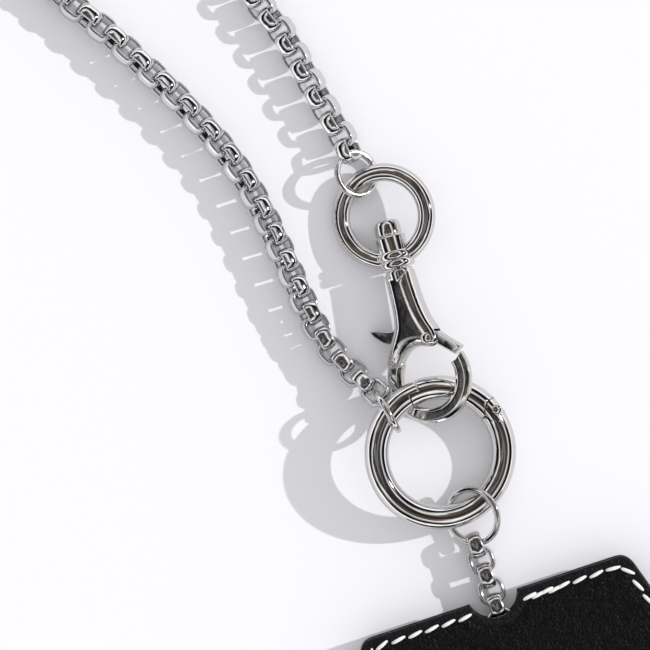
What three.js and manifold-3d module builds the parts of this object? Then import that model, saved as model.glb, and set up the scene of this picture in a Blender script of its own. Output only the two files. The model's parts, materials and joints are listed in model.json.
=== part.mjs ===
import * as THREE from 'three';
import { mergeVertices } from 'three/addons/utils/BufferGeometryUtils.js';
import Module from 'manifold-3d';

const wasm = await Module();
wasm.setup();

// Sizes in millimetres. X runs along the wallet's top edge, Y from the wallet towards the chain, Z up.
// The origin is the middle of the wallet's flat rear face. A place beyond the wallet is given by X, the
// distance past the wallet's top edge, and Z.

// Wallet
const WALLET_HEIGHT = 95;
const WALLET_WIDTH = 84;
const TOP_EDGE = 70;
const SHOULDER_ANGLE = 17;
const TOP_CORNER = 3;
const BOTTOM_CORNER = 8;
const NOTCH_HALF_WIDTH = 6.25;
const NOTCH_DEPTH = 5;
const PANEL = 1.6;
const LINING = 0.7;
const WELT = 1.3;
const DIVIDER = 0.7;
const WELT_WIDTH = 5;
const LAYER_GAP = 0.1;
const LINING_INSET = 0.5;
const ANCHOR_CUTOUT = 10;
const DIVIDER_DROP = 20;

// Box chain
const PITCH = 4;
const LINK_WIDTH = 7;
const LINK_WALL = 1.3;
const LINK_DEPTH = 3.6;
const LINK_RIM = 0.6;
const LINK_CORNER = 2;
const LINK_INNER_CORNER = 0.8;
const LINK_BELLY = 0.4;
const LINK_GAP = 0.3;
const FOLD_GAP = 0.6;
const CHAIN_Z = 3.75;
const SHORT_LINKS = 6;
const FIRST_LINK_Y = 6.35;
const FOOT_ROOM = 1.6;
const FUSE = 0.1;

// Anchor rivet
const RIVET_SHANK = 1;
const RIVET_FLANGE = 1.9;
const RIVET_FLANGE_DEPTH = 0.6;
const RIVET_CLEARANCE = 0.2;
const WASHER_RADIUS = 2.6;
const WASHER_DEPTH = 0.4;

// Gate ring
const RING_CENTRE = [-1.2, 38.4, 7];
const RING_SLOPE_X = -0.17;
const RING_SLOPE_Y = 0.09;
const RING_RADIUS = 16.2;
const RING_TUBE = 3;
const GATE_PIN_RADIUS = 17.4;
const GATE_PIN_ANGLE = 20;
const GATE_END_ANGLE = 92.5;
const GATE_END_SLANT = 38;
const GATE_SEAM = 0.35;
const PIN_SHANK = 0.75;
const PIN_HEAD = 1.5;
const PIN_CLEARANCE = 0.15;
const KNUCKLE = 2.9;
const KNUCKLE_GAP = 0.3;
const TONGUE_HALF = 0.85;
const FORK_HALF = 1.1;
const HINGE_RELIEF = 2.5;

// Jump rings: centre, mean radius, wire radius, then the turns about Y, X and Z that set the plane
const RING_C = { centre: [1.5, 20.75, 5.15], radius: 6.9, wire: 0.75, roll: -30, pitch: 11, yaw: -13 };
const RING_A = { centre: [-10.5, 52.3, 9.2], radius: 5.3, wire: 0.8, roll: 90, pitch: 0, yaw: 12 };
const RING_B = { centre: [0.9, 110.9, 4.3], radius: 5.45, wire: 0.8, roll: 31, pitch: 0, yaw: 0 };

// Clip, drawn flat with its axis along Y and the hook loop's centre at its origin
const CLIP_CENTRE = [2.15, 56.8, 7.9];
const CLIP_YAW = -2.6;
const CLIP_ROLL = -27;
const CLIP_PITCH = -3.7;
const HOOK_RADIUS = 9.4;
const HOOK_WIDTH = 4;
const HOOK_DEPTH = 2.9;
const HOOK_FROM = 142;
const HOOK_TO = 383;
const BODY_DEPTH = 7;
const LEVER_DEPTH = 2.6;
const LEVER_SLOT = 3.1;
const LEVER_ROOM = 0.3;
const LEVER_OPEN = 22;
const LEVER_PIVOT = [3.6, 9.6];
const LEVER_PIN = 0.9;
const LEVER_PIN_HEAD = 1.5;
const NECK_TOP = 28.3;
const NECK_RADIUS = 3.3;
const EYE_DISTANCE = 42;
const EYE_RADIUS = 11;
const EYE_TUBE = 2.2;
const EYE_ROLL = -15;
const STEM = 1.8;
const STEM_CLEARANCE = 0.2;
const BARREL = 3.75;
const COLLAR = 4.5;
const STEM_HEAD = 3.2;

// Centreline of the long chain, from the gate ring round to the clip
const ROUTE = [
  [-11.5, 57.15, 7.4], [-13.2, 60.2, 6.0], [-15.9, 64.8, 4.5], [-18.7, 70.5, 3.95], [-20.5, 76.9, 3.95],
  [-21.6, 83.9, 3.95], [-22.4, 91.8, 3.95], [-23.2, 100, 3.95], [-24.2, 108.2, 3.95],
  [-25.6, 116.6, 3.95], [-27.8, 124.7, 3.95], [-31, 133.1, 3.95], [-35, 141.9, 3.95], [-38.8, 149.2, 3.95],
  [-42.5, 155.9, 3.95], [-46.1, 162.5, 3.95], [-49.8, 168.3, 3.95], [-53.4, 174, 3.95], [-57.2, 181, 3.95],
  [-59.5, 190.5, 3.95],
  [-57, 201.5, 3.95], [-48.5, 210, 3.95], [-36.5, 213, 3.95], [-24.5, 209, 3.95], [-16.8, 199.5, 3.95],
  [-13.2, 188.5, 3.95], [-11.5, 174.5, 3.95], [-9.7, 162.4, 3.95], [-7.8, 156.5, 3.95], [-5.8, 151.4, 3.95],
  [-3.9, 142.7, 3.95], [-2.2, 133.6, 3.95], [-0.6, 125.7, 3.95], [0.7, 120, 4.0], [0.9, 116.3, 4.2],
];
// Lines across both strands where one stretch of the loop hinges on the next
const FOLDS = [108.3, 130.5, 152.5, 174.5, 192.5];
const LEFT_RUNS = 3;
const CAP_RUNS = 3;
const TWIST_SPAN = 46;
const TWIST = 12;

const steel = { color: 0xc9cbd0, metalness: 1, roughness: 0.18 };
const leather = { color: 0x151517, metalness: 0, roughness: 0.6 };
const suede = { color: 0x2a2a2d, metalness: 0, roughness: 0.9 };

const group = new THREE.Group();
group.name = 'chain_wallet';
const rad = THREE.MathUtils.degToRad;

function solid(geometry) {
  const bare = new THREE.BufferGeometry();
  bare.setAttribute('position', geometry.getAttribute('position'));
  if (geometry.index) bare.setIndex(geometry.index);
  const merged = mergeVertices(bare, 1e-4);
  return new wasm.Manifold(new wasm.Mesh({
    numProp: 3,
    vertProperties: new Float32Array(merged.getAttribute('position').array),
    triVerts: new Uint32Array(merged.index.array),
  }));
}

function surface(manifold) {
  const mesh = manifold.getMesh();
  const geometry = new THREE.BufferGeometry();
  geometry.setAttribute('position', new THREE.BufferAttribute(new Float32Array(mesh.vertProperties), 3));
  geometry.setIndex(new THREE.BufferAttribute(new Uint32Array(mesh.triVerts), 1));
  return geometry;
}

function add(name, shape, look) {
  const geometry = shape instanceof THREE.BufferGeometry ? surface(solid(shape)) : surface(shape);
  const mesh = new THREE.Mesh(geometry, new THREE.MeshStandardMaterial(look));
  mesh.name = name;
  group.add(mesh);
}

function placed(shape, matrix) {
  return shape.transform(matrix.elements);
}

function turned(centre, pitch, roll, yaw) {
  const angles = new THREE.Euler(rad(pitch), rad(roll), rad(yaw), 'ZXY');
  return new THREE.Matrix4().makeRotationFromEuler(angles).setPosition(...centre);
}

function slab(shape, bottom, depth) {
  const geometry = new THREE.ExtrudeGeometry(shape, { depth, bevelEnabled: false, curveSegments: 6 });
  return solid(geometry.translate(0, 0, bottom));
}

function rod(radius, bottom, top, segments = 20) {
  const geometry = new THREE.CylinderGeometry(radius, radius, top - bottom, segments);
  return solid(geometry.rotateX(Math.PI / 2).translate(0, 0, (top + bottom) / 2));
}

function turnedOnY(profile, segments = 20) {
  return solid(new THREE.LatheGeometry(profile.map(([r, y]) => new THREE.Vector2(r, y)), segments));
}

function block(width, height, depth, x = 0, y = 0, z = 0) {
  return solid(new THREE.BoxGeometry(width, height, depth).translate(x, y, z));
}

// Wallet outline with rounded corners and, if asked for, a cut at the middle of the top edge
function outline(inset, cutRadius, cutY, top = WALLET_HEIGHT / 2 - inset) {
  const bottom = -WALLET_HEIGHT / 2 + inset;
  const wide = WALLET_WIDTH / 2 - inset;
  const flare = Math.tan(rad(SHOULDER_ANGLE));
  const edgeAtTop = TOP_EDGE / 2 - inset / Math.cos(rad(SHOULDER_ANGLE));
  const shoulder = WALLET_HEIGHT / 2 - (wide - edgeAtTop) / flare;
  const sideAt = (y) => Math.min(wide, edgeAtTop + (WALLET_HEIGHT / 2 - y) * flare);
  const shape = new THREE.Shape();
  const corner = Math.max(TOP_CORNER - inset, 1);
  const foot = Math.max(BOTTOM_CORNER - inset, 2);
  const right = sideAt(top);
  const half = cutRadius ? Math.sqrt(Math.max(cutRadius ** 2 - (top - cutY) ** 2, 0)) : 0;
  if (half) {
    const start = Math.atan2(top - cutY, half);
    shape.moveTo(half, top);
    for (let i = 1; i < 16; i += 1) {
      const angle = start - (i / 16) * (2 * start + Math.PI);
      shape.lineTo(cutRadius * Math.cos(angle), cutY + cutRadius * Math.sin(angle));
    }
    shape.lineTo(-half, top);
  }
  const topLeft = [-right + corner, top];
  if (half) shape.lineTo(...topLeft);
  else shape.moveTo(...topLeft);
  shape.quadraticCurveTo(-right, top, -sideAt(top - corner), top - corner);
  if (top > shoulder) shape.lineTo(-wide, shoulder);
  shape.lineTo(-wide, bottom + foot);
  shape.quadraticCurveTo(-wide, bottom, -wide + foot, bottom);
  shape.lineTo(wide - foot, bottom);
  shape.quadraticCurveTo(wide, bottom, wide, bottom + foot);
  if (top > shoulder) shape.lineTo(wide, shoulder);
  shape.lineTo(sideAt(top - corner), top - corner);
  shape.quadraticCurveTo(right, top, right - corner, top);
  shape.closePath();
  return shape;
}

const walletTop = WALLET_HEIGHT / 2;
function pastTop([x, y, z]) {
  return [x, walletTop + y, z];
}

const notchRadius = (NOTCH_HALF_WIDTH ** 2 + NOTCH_DEPTH ** 2) / (2 * NOTCH_DEPTH);
const notchY = walletTop - NOTCH_DEPTH + notchRadius;
const openEdge = 4;

const linkOpening = PITCH + LINK_GAP;
const linkLength = linkOpening + 2 * LINK_WALL;
const anchorLinkY = walletTop - FIRST_LINK_Y;
const rivetY = anchorLinkY - linkOpening / 2 + LINK_GAP + RIVET_SHANK;

// Layers from the table up
const rearLiningZ = PANEL + LAYER_GAP;
const rearWeltZ = rearLiningZ + LINING + LAYER_GAP;
const dividerZ = rearWeltZ + WELT + LAYER_GAP;
const frontWeltZ = dividerZ + DIVIDER + LAYER_GAP;
const frontLiningZ = frontWeltZ + WELT + LAYER_GAP;
const frontPanelZ = Math.max(frontLiningZ + LINING + LAYER_GAP, CHAIN_Z + LINK_WIDTH / 2 - 0.25);

const panelShape = outline(0, notchRadius, notchY);
const liningShape = outline(LINING_INSET, ANCHOR_CUTOUT, walletTop - 2);
const rivetHole = rod(RIVET_SHANK + RIVET_CLEARANCE, -1, PANEL + 1).translate([0, rivetY, 0]);
const flangeSeat = rod(RIVET_FLANGE + RIVET_CLEARANCE, -1, RIVET_FLANGE_DEPTH + LAYER_GAP)
  .translate([0, rivetY, 0]);

// The rear panel gives way to the foot of the link that stands in the notch
const footY = anchorLinkY + PITCH - linkLength / 2 - LINK_GAP / 2;
const footLength = 4;
const linkFoot = block(LINK_DEPTH + FOOT_ROOM, footLength, 4 * PANEL, 0, footY + footLength / 2, 0);
const rearPanel = slab(panelShape, 0, PANEL).subtract(rivetHole).subtract(flangeSeat).subtract(linkFoot);
add('rear_panel', rearPanel, leather);
add('front_panel', slab(panelShape, frontPanelZ, PANEL), leather);
add('rear_lining', slab(liningShape, rearLiningZ, LINING), suede);
add('front_lining', slab(liningShape, frontLiningZ, LINING), suede);
add('card_divider', slab(outline(LINING_INSET, 0, 0, walletTop - DIVIDER_DROP), dividerZ, DIVIDER), suede);
const weltOuter = outline(LINING_INSET, 0, 0);
const weltInner = outline(LINING_INSET + WELT_WIDTH, 0, 0, walletTop + openEdge);
for (const [name, z] of [['rear_welt', rearWeltZ], ['front_welt', frontWeltZ]]) {
  add(name, slab(weltOuter, z, WELT).subtract(slab(weltInner, z - 1, WELT + 2)), leather);
}

// Anchor rivet through the rear panel, standing up through the last link
const linkTop = CHAIN_Z + LINK_DEPTH / 2;
const washerZ = linkTop + LINK_GAP;
const upset = RIVET_SHANK + 0.5;
const upsetDepth = 0.3;
const tableGap = 0.05;
const rivetTop = washerZ + WASHER_DEPTH + LAYER_GAP;
const rivet = turnedOnY([
  [0, tableGap], [RIVET_FLANGE, tableGap],
  [RIVET_FLANGE, RIVET_FLANGE_DEPTH], [RIVET_SHANK, RIVET_FLANGE_DEPTH],
  [RIVET_SHANK, rivetTop], [upset, rivetTop], [upset, rivetTop + upsetDepth], [0, rivetTop + upsetDepth],
]);
add('anchor_rivet', placed(rivet, turned([0, rivetY, 0], 90, 0, 0)), steel);
// The washer has a flat on the side of the standing link
const washerFlat = RIVET_SHANK - 0.1;
const washer = rod(WASHER_RADIUS, washerZ, washerZ + WASHER_DEPTH)
  .subtract(rod(RIVET_SHANK + RIVET_CLEARANCE / 2, washerZ - 1, washerZ + 1))
  .subtract(block(2 * LINK_WIDTH, LINK_WIDTH, LINK_WIDTH, 0, washerFlat + LINK_WIDTH / 2, washerZ));
add('anchor_washer', washer.translate([0, rivetY, 0]), steel);

// One box link: a rounded square band, thickest at its middle, with its axis along Z and its length along Y
function squareLoop(path, halfX, halfY, corner, steps, reverse) {
  const points = [];
  for (const [sx, sy, from] of [[1, 1, 0], [-1, 1, 90], [-1, -1, 180], [1, -1, 270]]) {
    for (let i = 0; i <= steps; i += 1) {
      const angle = rad(from + (90 * i) / Math.max(steps, 1));
      points.push(steps ? new THREE.Vector2(
        sx * (halfX - corner) + corner * Math.cos(angle),
        sy * (halfY - corner) + corner * Math.sin(angle),
      ) : new THREE.Vector2(sx * halfX, sy * halfY));
    }
  }
  path.setFromPoints(reverse ? points.reverse() : points);
  path.closePath();
  return path;
}

function boxLink(length) {
  const swell = (LINK_WALL - LINK_RIM) / 2;
  const hole = LINK_WALL - swell;
  const shape = squareLoop(
    new THREE.Shape(), LINK_WIDTH / 2 - swell, length / 2 - swell, LINK_CORNER - swell, 3, false,
  );
  shape.holes.push(squareLoop(
    new THREE.Path(), LINK_WIDTH / 2 - hole, length / 2 - hole, LINK_INNER_CORNER + swell, 2, true,
  ));
  const geometry = new THREE.ExtrudeGeometry(shape, {
    depth: LINK_BELLY,
    bevelThickness: (LINK_DEPTH - LINK_BELLY) / 2,
    bevelSize: swell,
    bevelSegments: 1,
  });
  return solid(geometry.translate(0, 0, -LINK_BELLY / 2));
}

// The same link with flat walls, for the joined runs
function plainLink(length) {
  const shape = squareLoop(new THREE.Shape(), LINK_WIDTH / 2, length / 2, LINK_CORNER, 1, false);
  shape.holes.push(squareLoop(
    new THREE.Path(), LINK_WIDTH / 2 - LINK_WALL, length / 2 - LINK_WALL, 0, 0, true,
  ));
  return slab(shape, -LINK_DEPTH / 2, LINK_DEPTH);
}

// A frame on the table: local Y along the chain, local Z the link's own axis, turned by the twist
function linkFrame(position, tangent, twist) {
  const along = tangent.clone().normalize();
  const side = new THREE.Vector3(0, 0, 1).cross(along).normalize();
  const up = along.clone().cross(side);
  const axis = up.multiplyScalar(Math.cos(rad(twist))).addScaledVector(side, Math.sin(rad(twist)));
  const across = along.clone().cross(axis);
  return new THREE.Matrix4().makeBasis(across, along, axis).setPosition(position);
}

const shortLink = boxLink(linkLength);
const awayFromWallet = new THREE.Vector3(0, 1, 0);
for (let i = 0; i < SHORT_LINKS; i += 1) {
  const position = new THREE.Vector3(0, anchorLinkY + PITCH * i, CHAIN_Z);
  const twist = i % 2 ? 90 : 0;
  add(`short_link_${i + 1}`, placed(shortLink, linkFrame(position, awayFromWallet, twist)), steel);
}

// Jump rings
function jumpRing(name, ring) {
  const torus = solid(new THREE.TorusGeometry(ring.radius, ring.wire, 8, 24));
  add(name, placed(torus, turned(pastTop(ring.centre), ring.pitch, ring.roll, ring.yaw)), steel);
}
jumpRing('jump_ring_short_chain', RING_C);
jumpRing('jump_ring_long_chain', RING_A);
jumpRing('jump_ring_swivel', RING_B);

// Gate ring, drawn flat about its own centre and then tipped on to the table
const ringFrame = (() => {
  const normal = new THREE.Vector3(-RING_SLOPE_X, -RING_SLOPE_Y, 1).normalize();
  const x = new THREE.Vector3(1, 0, RING_SLOPE_X).normalize();
  const y = normal.clone().cross(x);
  return new THREE.Matrix4().makeBasis(x, y, normal).setPosition(...pastTop(RING_CENTRE));
})();

function sector(from, to, radius, half) {
  const shape = new THREE.Shape();
  shape.moveTo(0, 0);
  const steps = Math.ceil((to - from) / 30);
  for (let i = 0; i <= steps; i += 1) {
    const angle = rad(from + ((to - from) * i) / steps);
    shape.lineTo(radius * Math.cos(angle), radius * Math.sin(angle));
  }
  shape.closePath();
  return slab(shape, -half, 2 * half);
}

const ringTorus = solid(new THREE.TorusGeometry(RING_RADIUS, RING_TUBE, 12, 48));
const pinAngle = rad(GATE_PIN_ANGLE);
const pinAt = [GATE_PIN_RADIUS * Math.cos(pinAngle), GATE_PIN_RADIUS * Math.sin(pinAngle), 0];
const ringReach = RING_RADIUS + 2 * RING_TUBE;

// Seam at the gate's free end, slanted so that the gate can swing inwards past the fixed end
function seamSide(offset, sense) {
  const angle = rad(GATE_END_ANGLE);
  const slant = rad(GATE_END_ANGLE + 90 - GATE_END_SLANT);
  const size = 4 * RING_TUBE + 2;
  const centre = [RING_RADIUS * Math.cos(angle), RING_RADIUS * Math.sin(angle), 0];
  const shift = offset + (sense * size) / 2;
  const box = block(size, size, size).transform(new THREE.Matrix4().makeRotationZ(slant).elements);
  return box.translate([centre[0] + shift * Math.cos(slant), centre[1] + shift * Math.sin(slant), 0]);
}

const pinHole = rod(PIN_SHANK + PIN_CLEARANCE, -RING_TUBE * 2, RING_TUBE * 2, 16).translate(pinAt);
const noseAngle = 22;
const gateArc = ringTorus
  .intersect(sector(GATE_PIN_ANGLE + HINGE_RELIEF, GATE_END_ANGLE + noseAngle, ringReach, RING_TUBE * 2))
  .subtract(seamSide(0, 1));
const fixedArc = ringTorus
  .intersect(sector(GATE_END_ANGLE - noseAngle, GATE_PIN_ANGLE + 360, ringReach, RING_TUBE * 2))
  .subtract(seamSide(GATE_SEAM, -1));
const knuckle = ringTorus.intersect(rod(KNUCKLE, -RING_TUBE, RING_TUBE, 24).translate(pinAt));
const slot = rod(KNUCKLE + 2 * KNUCKLE_GAP, -FORK_HALF, FORK_HALF, 24).translate(pinAt);
const ringBody = fixedArc.add(knuckle).subtract(slot).subtract(pinHole);
add('gate_ring_body', placed(ringBody, ringFrame), steel);

const tongueSlab = block(4 * RING_RADIUS, 4 * RING_RADIUS, 2 * TONGUE_HALF);
const tongueTip = knuckle.intersect(rod(KNUCKLE - 0.1, -TONGUE_HALF, TONGUE_HALF, 24).translate(pinAt));
const tongueRoot = gateArc.intersect(tongueSlab);
const gateBody = gateArc
  .subtract(rod(KNUCKLE + KNUCKLE_GAP, -RING_TUBE, RING_TUBE, 24).translate(pinAt));
add('ring_gate', placed(gateBody.add(tongueRoot).add(tongueTip).subtract(pinHole), ringFrame), steel);

const headZ = Math.sqrt(RING_TUBE ** 2 - (GATE_PIN_RADIUS - RING_RADIUS) ** 2);
const pin = turnedOnY([
  [0, -headZ - 0.75], [PIN_HEAD * 0.6, -headZ - 0.6], [PIN_HEAD, -headZ - 0.15], [PIN_HEAD, -headZ - 0.05],
  [PIN_SHANK, -headZ - 0.05], [PIN_SHANK, headZ + 0.05], [PIN_HEAD, headZ + 0.05], [PIN_HEAD, headZ + 0.15],
  [PIN_HEAD * 0.6, headZ + 0.6], [0, headZ + 0.75],
], 16);
const pinCore = placed(pin, turned(pinAt, 90, 0, 0)).subtract(ringBody);
add('gate_pin', placed(pinCore, ringFrame), steel);

// Clip
const clipFrame = turned(pastTop(CLIP_CENTRE), CLIP_PITCH, CLIP_ROLL, CLIP_YAW);
const hookSection = [[-0.5, -0.28], [-0.28, -0.5], [0.28, -0.5], [0.5, -0.28], [0.5, 0.28], [0.28, 0.5],
  [-0.28, 0.5], [-0.5, 0.28], [-0.5, -0.28]];
const hookLathe = new THREE.LatheGeometry(
  hookSection.map(([a, b]) => new THREE.Vector2(HOOK_RADIUS + a * HOOK_WIDTH, b * HOOK_DEPTH)), 48,
);
const hookLoop = solid(hookLathe.rotateX(Math.PI / 2))
  .intersect(sector(HOOK_FROM, HOOK_TO, HOOK_RADIUS + HOOK_WIDTH, HOOK_DEPTH));

const side = new THREE.Shape();
side.moveTo(-9.9, 5.4);
side.bezierCurveTo(-9.2, 8.6, -6.3, 12.0, -5.0, 14.4);
side.bezierCurveTo(-3.9, 17.0, -3.3, 21.0, -3.2, 26.2);
side.lineTo(3.2, 26.2);
side.bezierCurveTo(3.3, 21.0, 3.8, 17.0, 5.0, 13.6);
side.bezierCurveTo(5.8, 11.6, 6.2, 10.4, 5.9, 8.6);
side.bezierCurveTo(5.4, 7.2, 3.4, 7.0, 1.4, 7.9);
side.bezierCurveTo(-1.8, 9.1, -4.4, 7.6, -6.4, 4.8);
side.closePath();
const bodyBevel = 1.1;
const bodyPlate = solid(new THREE.ExtrudeGeometry(side, {
  depth: BODY_DEPTH - 2 * bodyBevel,
  bevelThickness: bodyBevel,
  bevelSize: bodyBevel,
  bevelOffset: -bodyBevel * 0.6,
  bevelSegments: 1,
  curveSegments: 5,
}).translate(0, 0, -BODY_DEPTH / 2 + bodyBevel));
const neckFoot = NECK_TOP - 5;
const neck = turnedOnY([[0, neckFoot], [NECK_RADIUS, neckFoot], [NECK_RADIUS, NECK_TOP], [0, NECK_TOP]], 24);
const lever = new THREE.Shape();
lever.moveTo(-12.3, 15.6);
lever.bezierCurveTo(-10.2, 15.4, -8.6, 14.4, -6.6, 14.0);
lever.lineTo(-2.0, 14.2);
lever.lineTo(3.9, 12.0);
lever.lineTo(6.2, 10.4);
lever.lineTo(11.2, 5.3);
lever.lineTo(8.9, 3.9);
lever.lineTo(4.6, 7.9);
lever.lineTo(-2.6, 9.6);
lever.lineTo(-7.2, 10.6);
lever.bezierCurveTo(-9.3, 11.2, -11.2, 13.0, -12.3, 15.6);
lever.closePath();
const leverPlate = slab(lever, -LEVER_DEPTH / 2, LEVER_DEPTH);

// Slot in the body: what the lever sweeps, with room around it
function swept(shape, pivot, from, to, steps) {
  let result = shape;
  for (let i = 0; i <= steps; i += 1) {
    const angle = from + ((to - from) * i) / steps;
    const moved = shape.translate([-pivot[0], -pivot[1], 0]).rotate([0, 0, angle]).translate([...pivot, 0]);
    result = result.add(moved);
  }
  return result;
}
const leverTall = solid(new THREE.ExtrudeGeometry(lever, {
  depth: LEVER_SLOT - 0.1,
  bevelThickness: 0.05,
  bevelSize: LEVER_ROOM,
  bevelSegments: 1,
  curveSegments: 2,
}).translate(0, 0, -LEVER_SLOT / 2 + 0.05));
const leverRoom = swept(leverTall, LEVER_PIVOT, 0.5, -LEVER_OPEN - 1, 4);
const leverPinHole = rod(LEVER_PIN + PIN_CLEARANCE, -BODY_DEPTH, BODY_DEPTH, 16)
  .translate([...LEVER_PIVOT, 0]);
const clipBody = hookLoop.add(bodyPlate).add(neck).subtract(leverRoom).subtract(leverPinHole);
const stemFoot = NECK_TOP - 3;
const stemHole = turnedOnY([
  [0, stemFoot], [STEM + 0.1, stemFoot], [STEM + 0.1, NECK_TOP + 1], [0, NECK_TOP + 1],
]);
add('clip_body', placed(clipBody.subtract(stemHole), clipFrame), steel);
add('trigger_lever', placed(leverPlate.subtract(leverPinHole), clipFrame), steel);
const halfBody = BODY_DEPTH / 2;
const leverPin = turnedOnY([
  [0, -halfBody - 0.5], [LEVER_PIN_HEAD, -halfBody - 0.3], [LEVER_PIN_HEAD, -halfBody - 0.05],
  [LEVER_PIN, -halfBody - 0.05], [LEVER_PIN, halfBody + 0.05], [LEVER_PIN_HEAD, halfBody + 0.05],
  [LEVER_PIN_HEAD, halfBody + 0.3], [0, halfBody + 0.5],
], 16);
add('lever_pin', placed(placed(leverPin, turned([...LEVER_PIVOT, 0], 90, 0, 0)), clipFrame), steel);

// The swivel: a beaded collar on the eye, a barrel inside it, and the stem's head
const eyeY = EYE_DISTANCE;
const collarBottom = NECK_TOP + 0.3 - eyeY;
const collarTop = collarBottom + 4.2;
const barrelTop = collarTop + 4;
const headBottom = barrelTop + 0.25;
const headTop = headBottom + 3.8;
const stem = turnedOnY([
  [0, stemFoot + 0.1], [STEM, stemFoot + 0.1], [STEM, eyeY + headBottom], [STEM_HEAD, eyeY + headBottom],
  [STEM_HEAD + 0.1, eyeY + headBottom + 1], [STEM_HEAD, eyeY + headTop - 1],
  [STEM_HEAD * 0.8, eyeY + headTop - 0.2], [0, eyeY + headTop],
]);
add('swivel_stem', placed(stem, clipFrame), steel);
const eyeTorus = solid(new THREE.TorusGeometry(EYE_RADIUS, EYE_TUBE, 8, 32));
const bead = 0.5;
const collarMiddle = (collarBottom + collarTop) / 2;
const boss = turnedOnY([
  [0, collarBottom], [COLLAR - bead, collarBottom],
  [COLLAR, collarBottom + bead], [COLLAR, collarMiddle - bead],
  [COLLAR - bead, collarMiddle], [COLLAR, collarMiddle + bead], [COLLAR, collarTop - bead],
  [COLLAR - bead, collarTop], [BARREL, collarTop], [BARREL, barrelTop], [0, barrelTop],
]);
const bore = turnedOnY([
  [0, collarBottom - 2], [STEM + STEM_CLEARANCE, collarBottom - 2], [STEM + STEM_CLEARANCE, barrelTop + 2],
  [0, barrelTop + 2],
]);
const eye = placed(eyeTorus.add(boss).subtract(bore), turned([0, eyeY, 0], 0, EYE_ROLL - CLIP_ROLL, 0));
add('swivel_eye', placed(eye, clipFrame), steel);

// Long chain: rigid runs of box links between the fold lines
const routePoints = ROUTE.map((point) => new THREE.Vector3(...pastTop(point)));
const route = new THREE.CatmullRomCurve3(routePoints, false, 'centripetal');
route.arcLengthDivisions = 800;
const routeLength = route.getLength();

function lengthAtY(y, half) {
  const samples = 4000;
  for (let i = 1; i <= samples; i += 1) {
    const u = half === 'left' ? i / samples : 1 - i / samples;
    if (route.getPointAt(u).y >= y) return u * routeLength;
  }
  return 0;
}

const nearBar = PITCH - FOLD_GAP - FUSE;
let linkIndex = 0;
function addRun(name, from, to, firstGap, lastGap) {
  const start = from + firstGap;
  const end = to - lastGap;
  const count = Math.max(1, Math.round((end - start) / PITCH) + 1);
  const step = count > 1 ? (end - start) / (count - 1) : PITCH;
  const link = plainLink(step + 2 * LINK_WALL - FUSE);
  let run = null;
  for (let i = 0; i < count; i += 1) {
    const at = count > 1 ? start + step * i : (start + end) / 2;
    const u = Math.min(Math.max(at / routeLength, 0), 1);
    const twist = (linkIndex % 2 ? 90 : 0) + TWIST * Math.sin((at / TWIST_SPAN) * Math.PI);
    const piece = placed(link, linkFrame(route.getPointAt(u), route.getTangentAt(u), twist));
    run = run ? run.add(piece) : piece;
    linkIndex += 1;
  }
  add(name, run, steel);
}

const half = nearBar / 2;
const wireToLink = 0.7;
const bendHalf = half - 0.05;
const leftMarks = FOLDS.map((y) => lengthAtY(walletTop + y, 'left'));
const rightMarks = FOLDS.map((y) => lengthAtY(walletTop + y, 'right'));
for (let i = 0; i < LEFT_RUNS; i += 1) {
  const from = (leftMarks[0] * i) / LEFT_RUNS;
  const to = (leftMarks[0] * (i + 1)) / LEFT_RUNS;
  addRun(`chain_left_${i + 1}`, from, to, i ? half : wireToLink, half);
}
for (let i = 1; i < FOLDS.length; i += 1) {
  addRun(`chain_left_${LEFT_RUNS + i}`, leftMarks[i - 1], leftMarks[i], half, half);
}
const lastLeft = leftMarks[FOLDS.length - 1];
const lastRight = rightMarks[FOLDS.length - 1];
for (let i = 0; i < CAP_RUNS; i += 1) {
  const span = (lastRight - lastLeft) / CAP_RUNS;
  addRun(`chain_bend_${i + 1}`, lastLeft + span * i, lastLeft + span * (i + 1), bendHalf, bendHalf);
}
for (let i = FOLDS.length - 1; i > 0; i -= 1) {
  const end = i > 1 ? rightMarks[i - 1] : routeLength;
  addRun(`chain_right_${i}`, rightMarks[i], end, half, i > 1 ? half : wireToLink);
}

export default group;
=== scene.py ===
import json
import math

import bmesh
import bpy
import numpy as np
from bpy.props import FloatProperty, FloatVectorProperty, PointerProperty
from mathutils import Matrix, Vector
from mathutils.geometry import delaunay_2d_cdt

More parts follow.
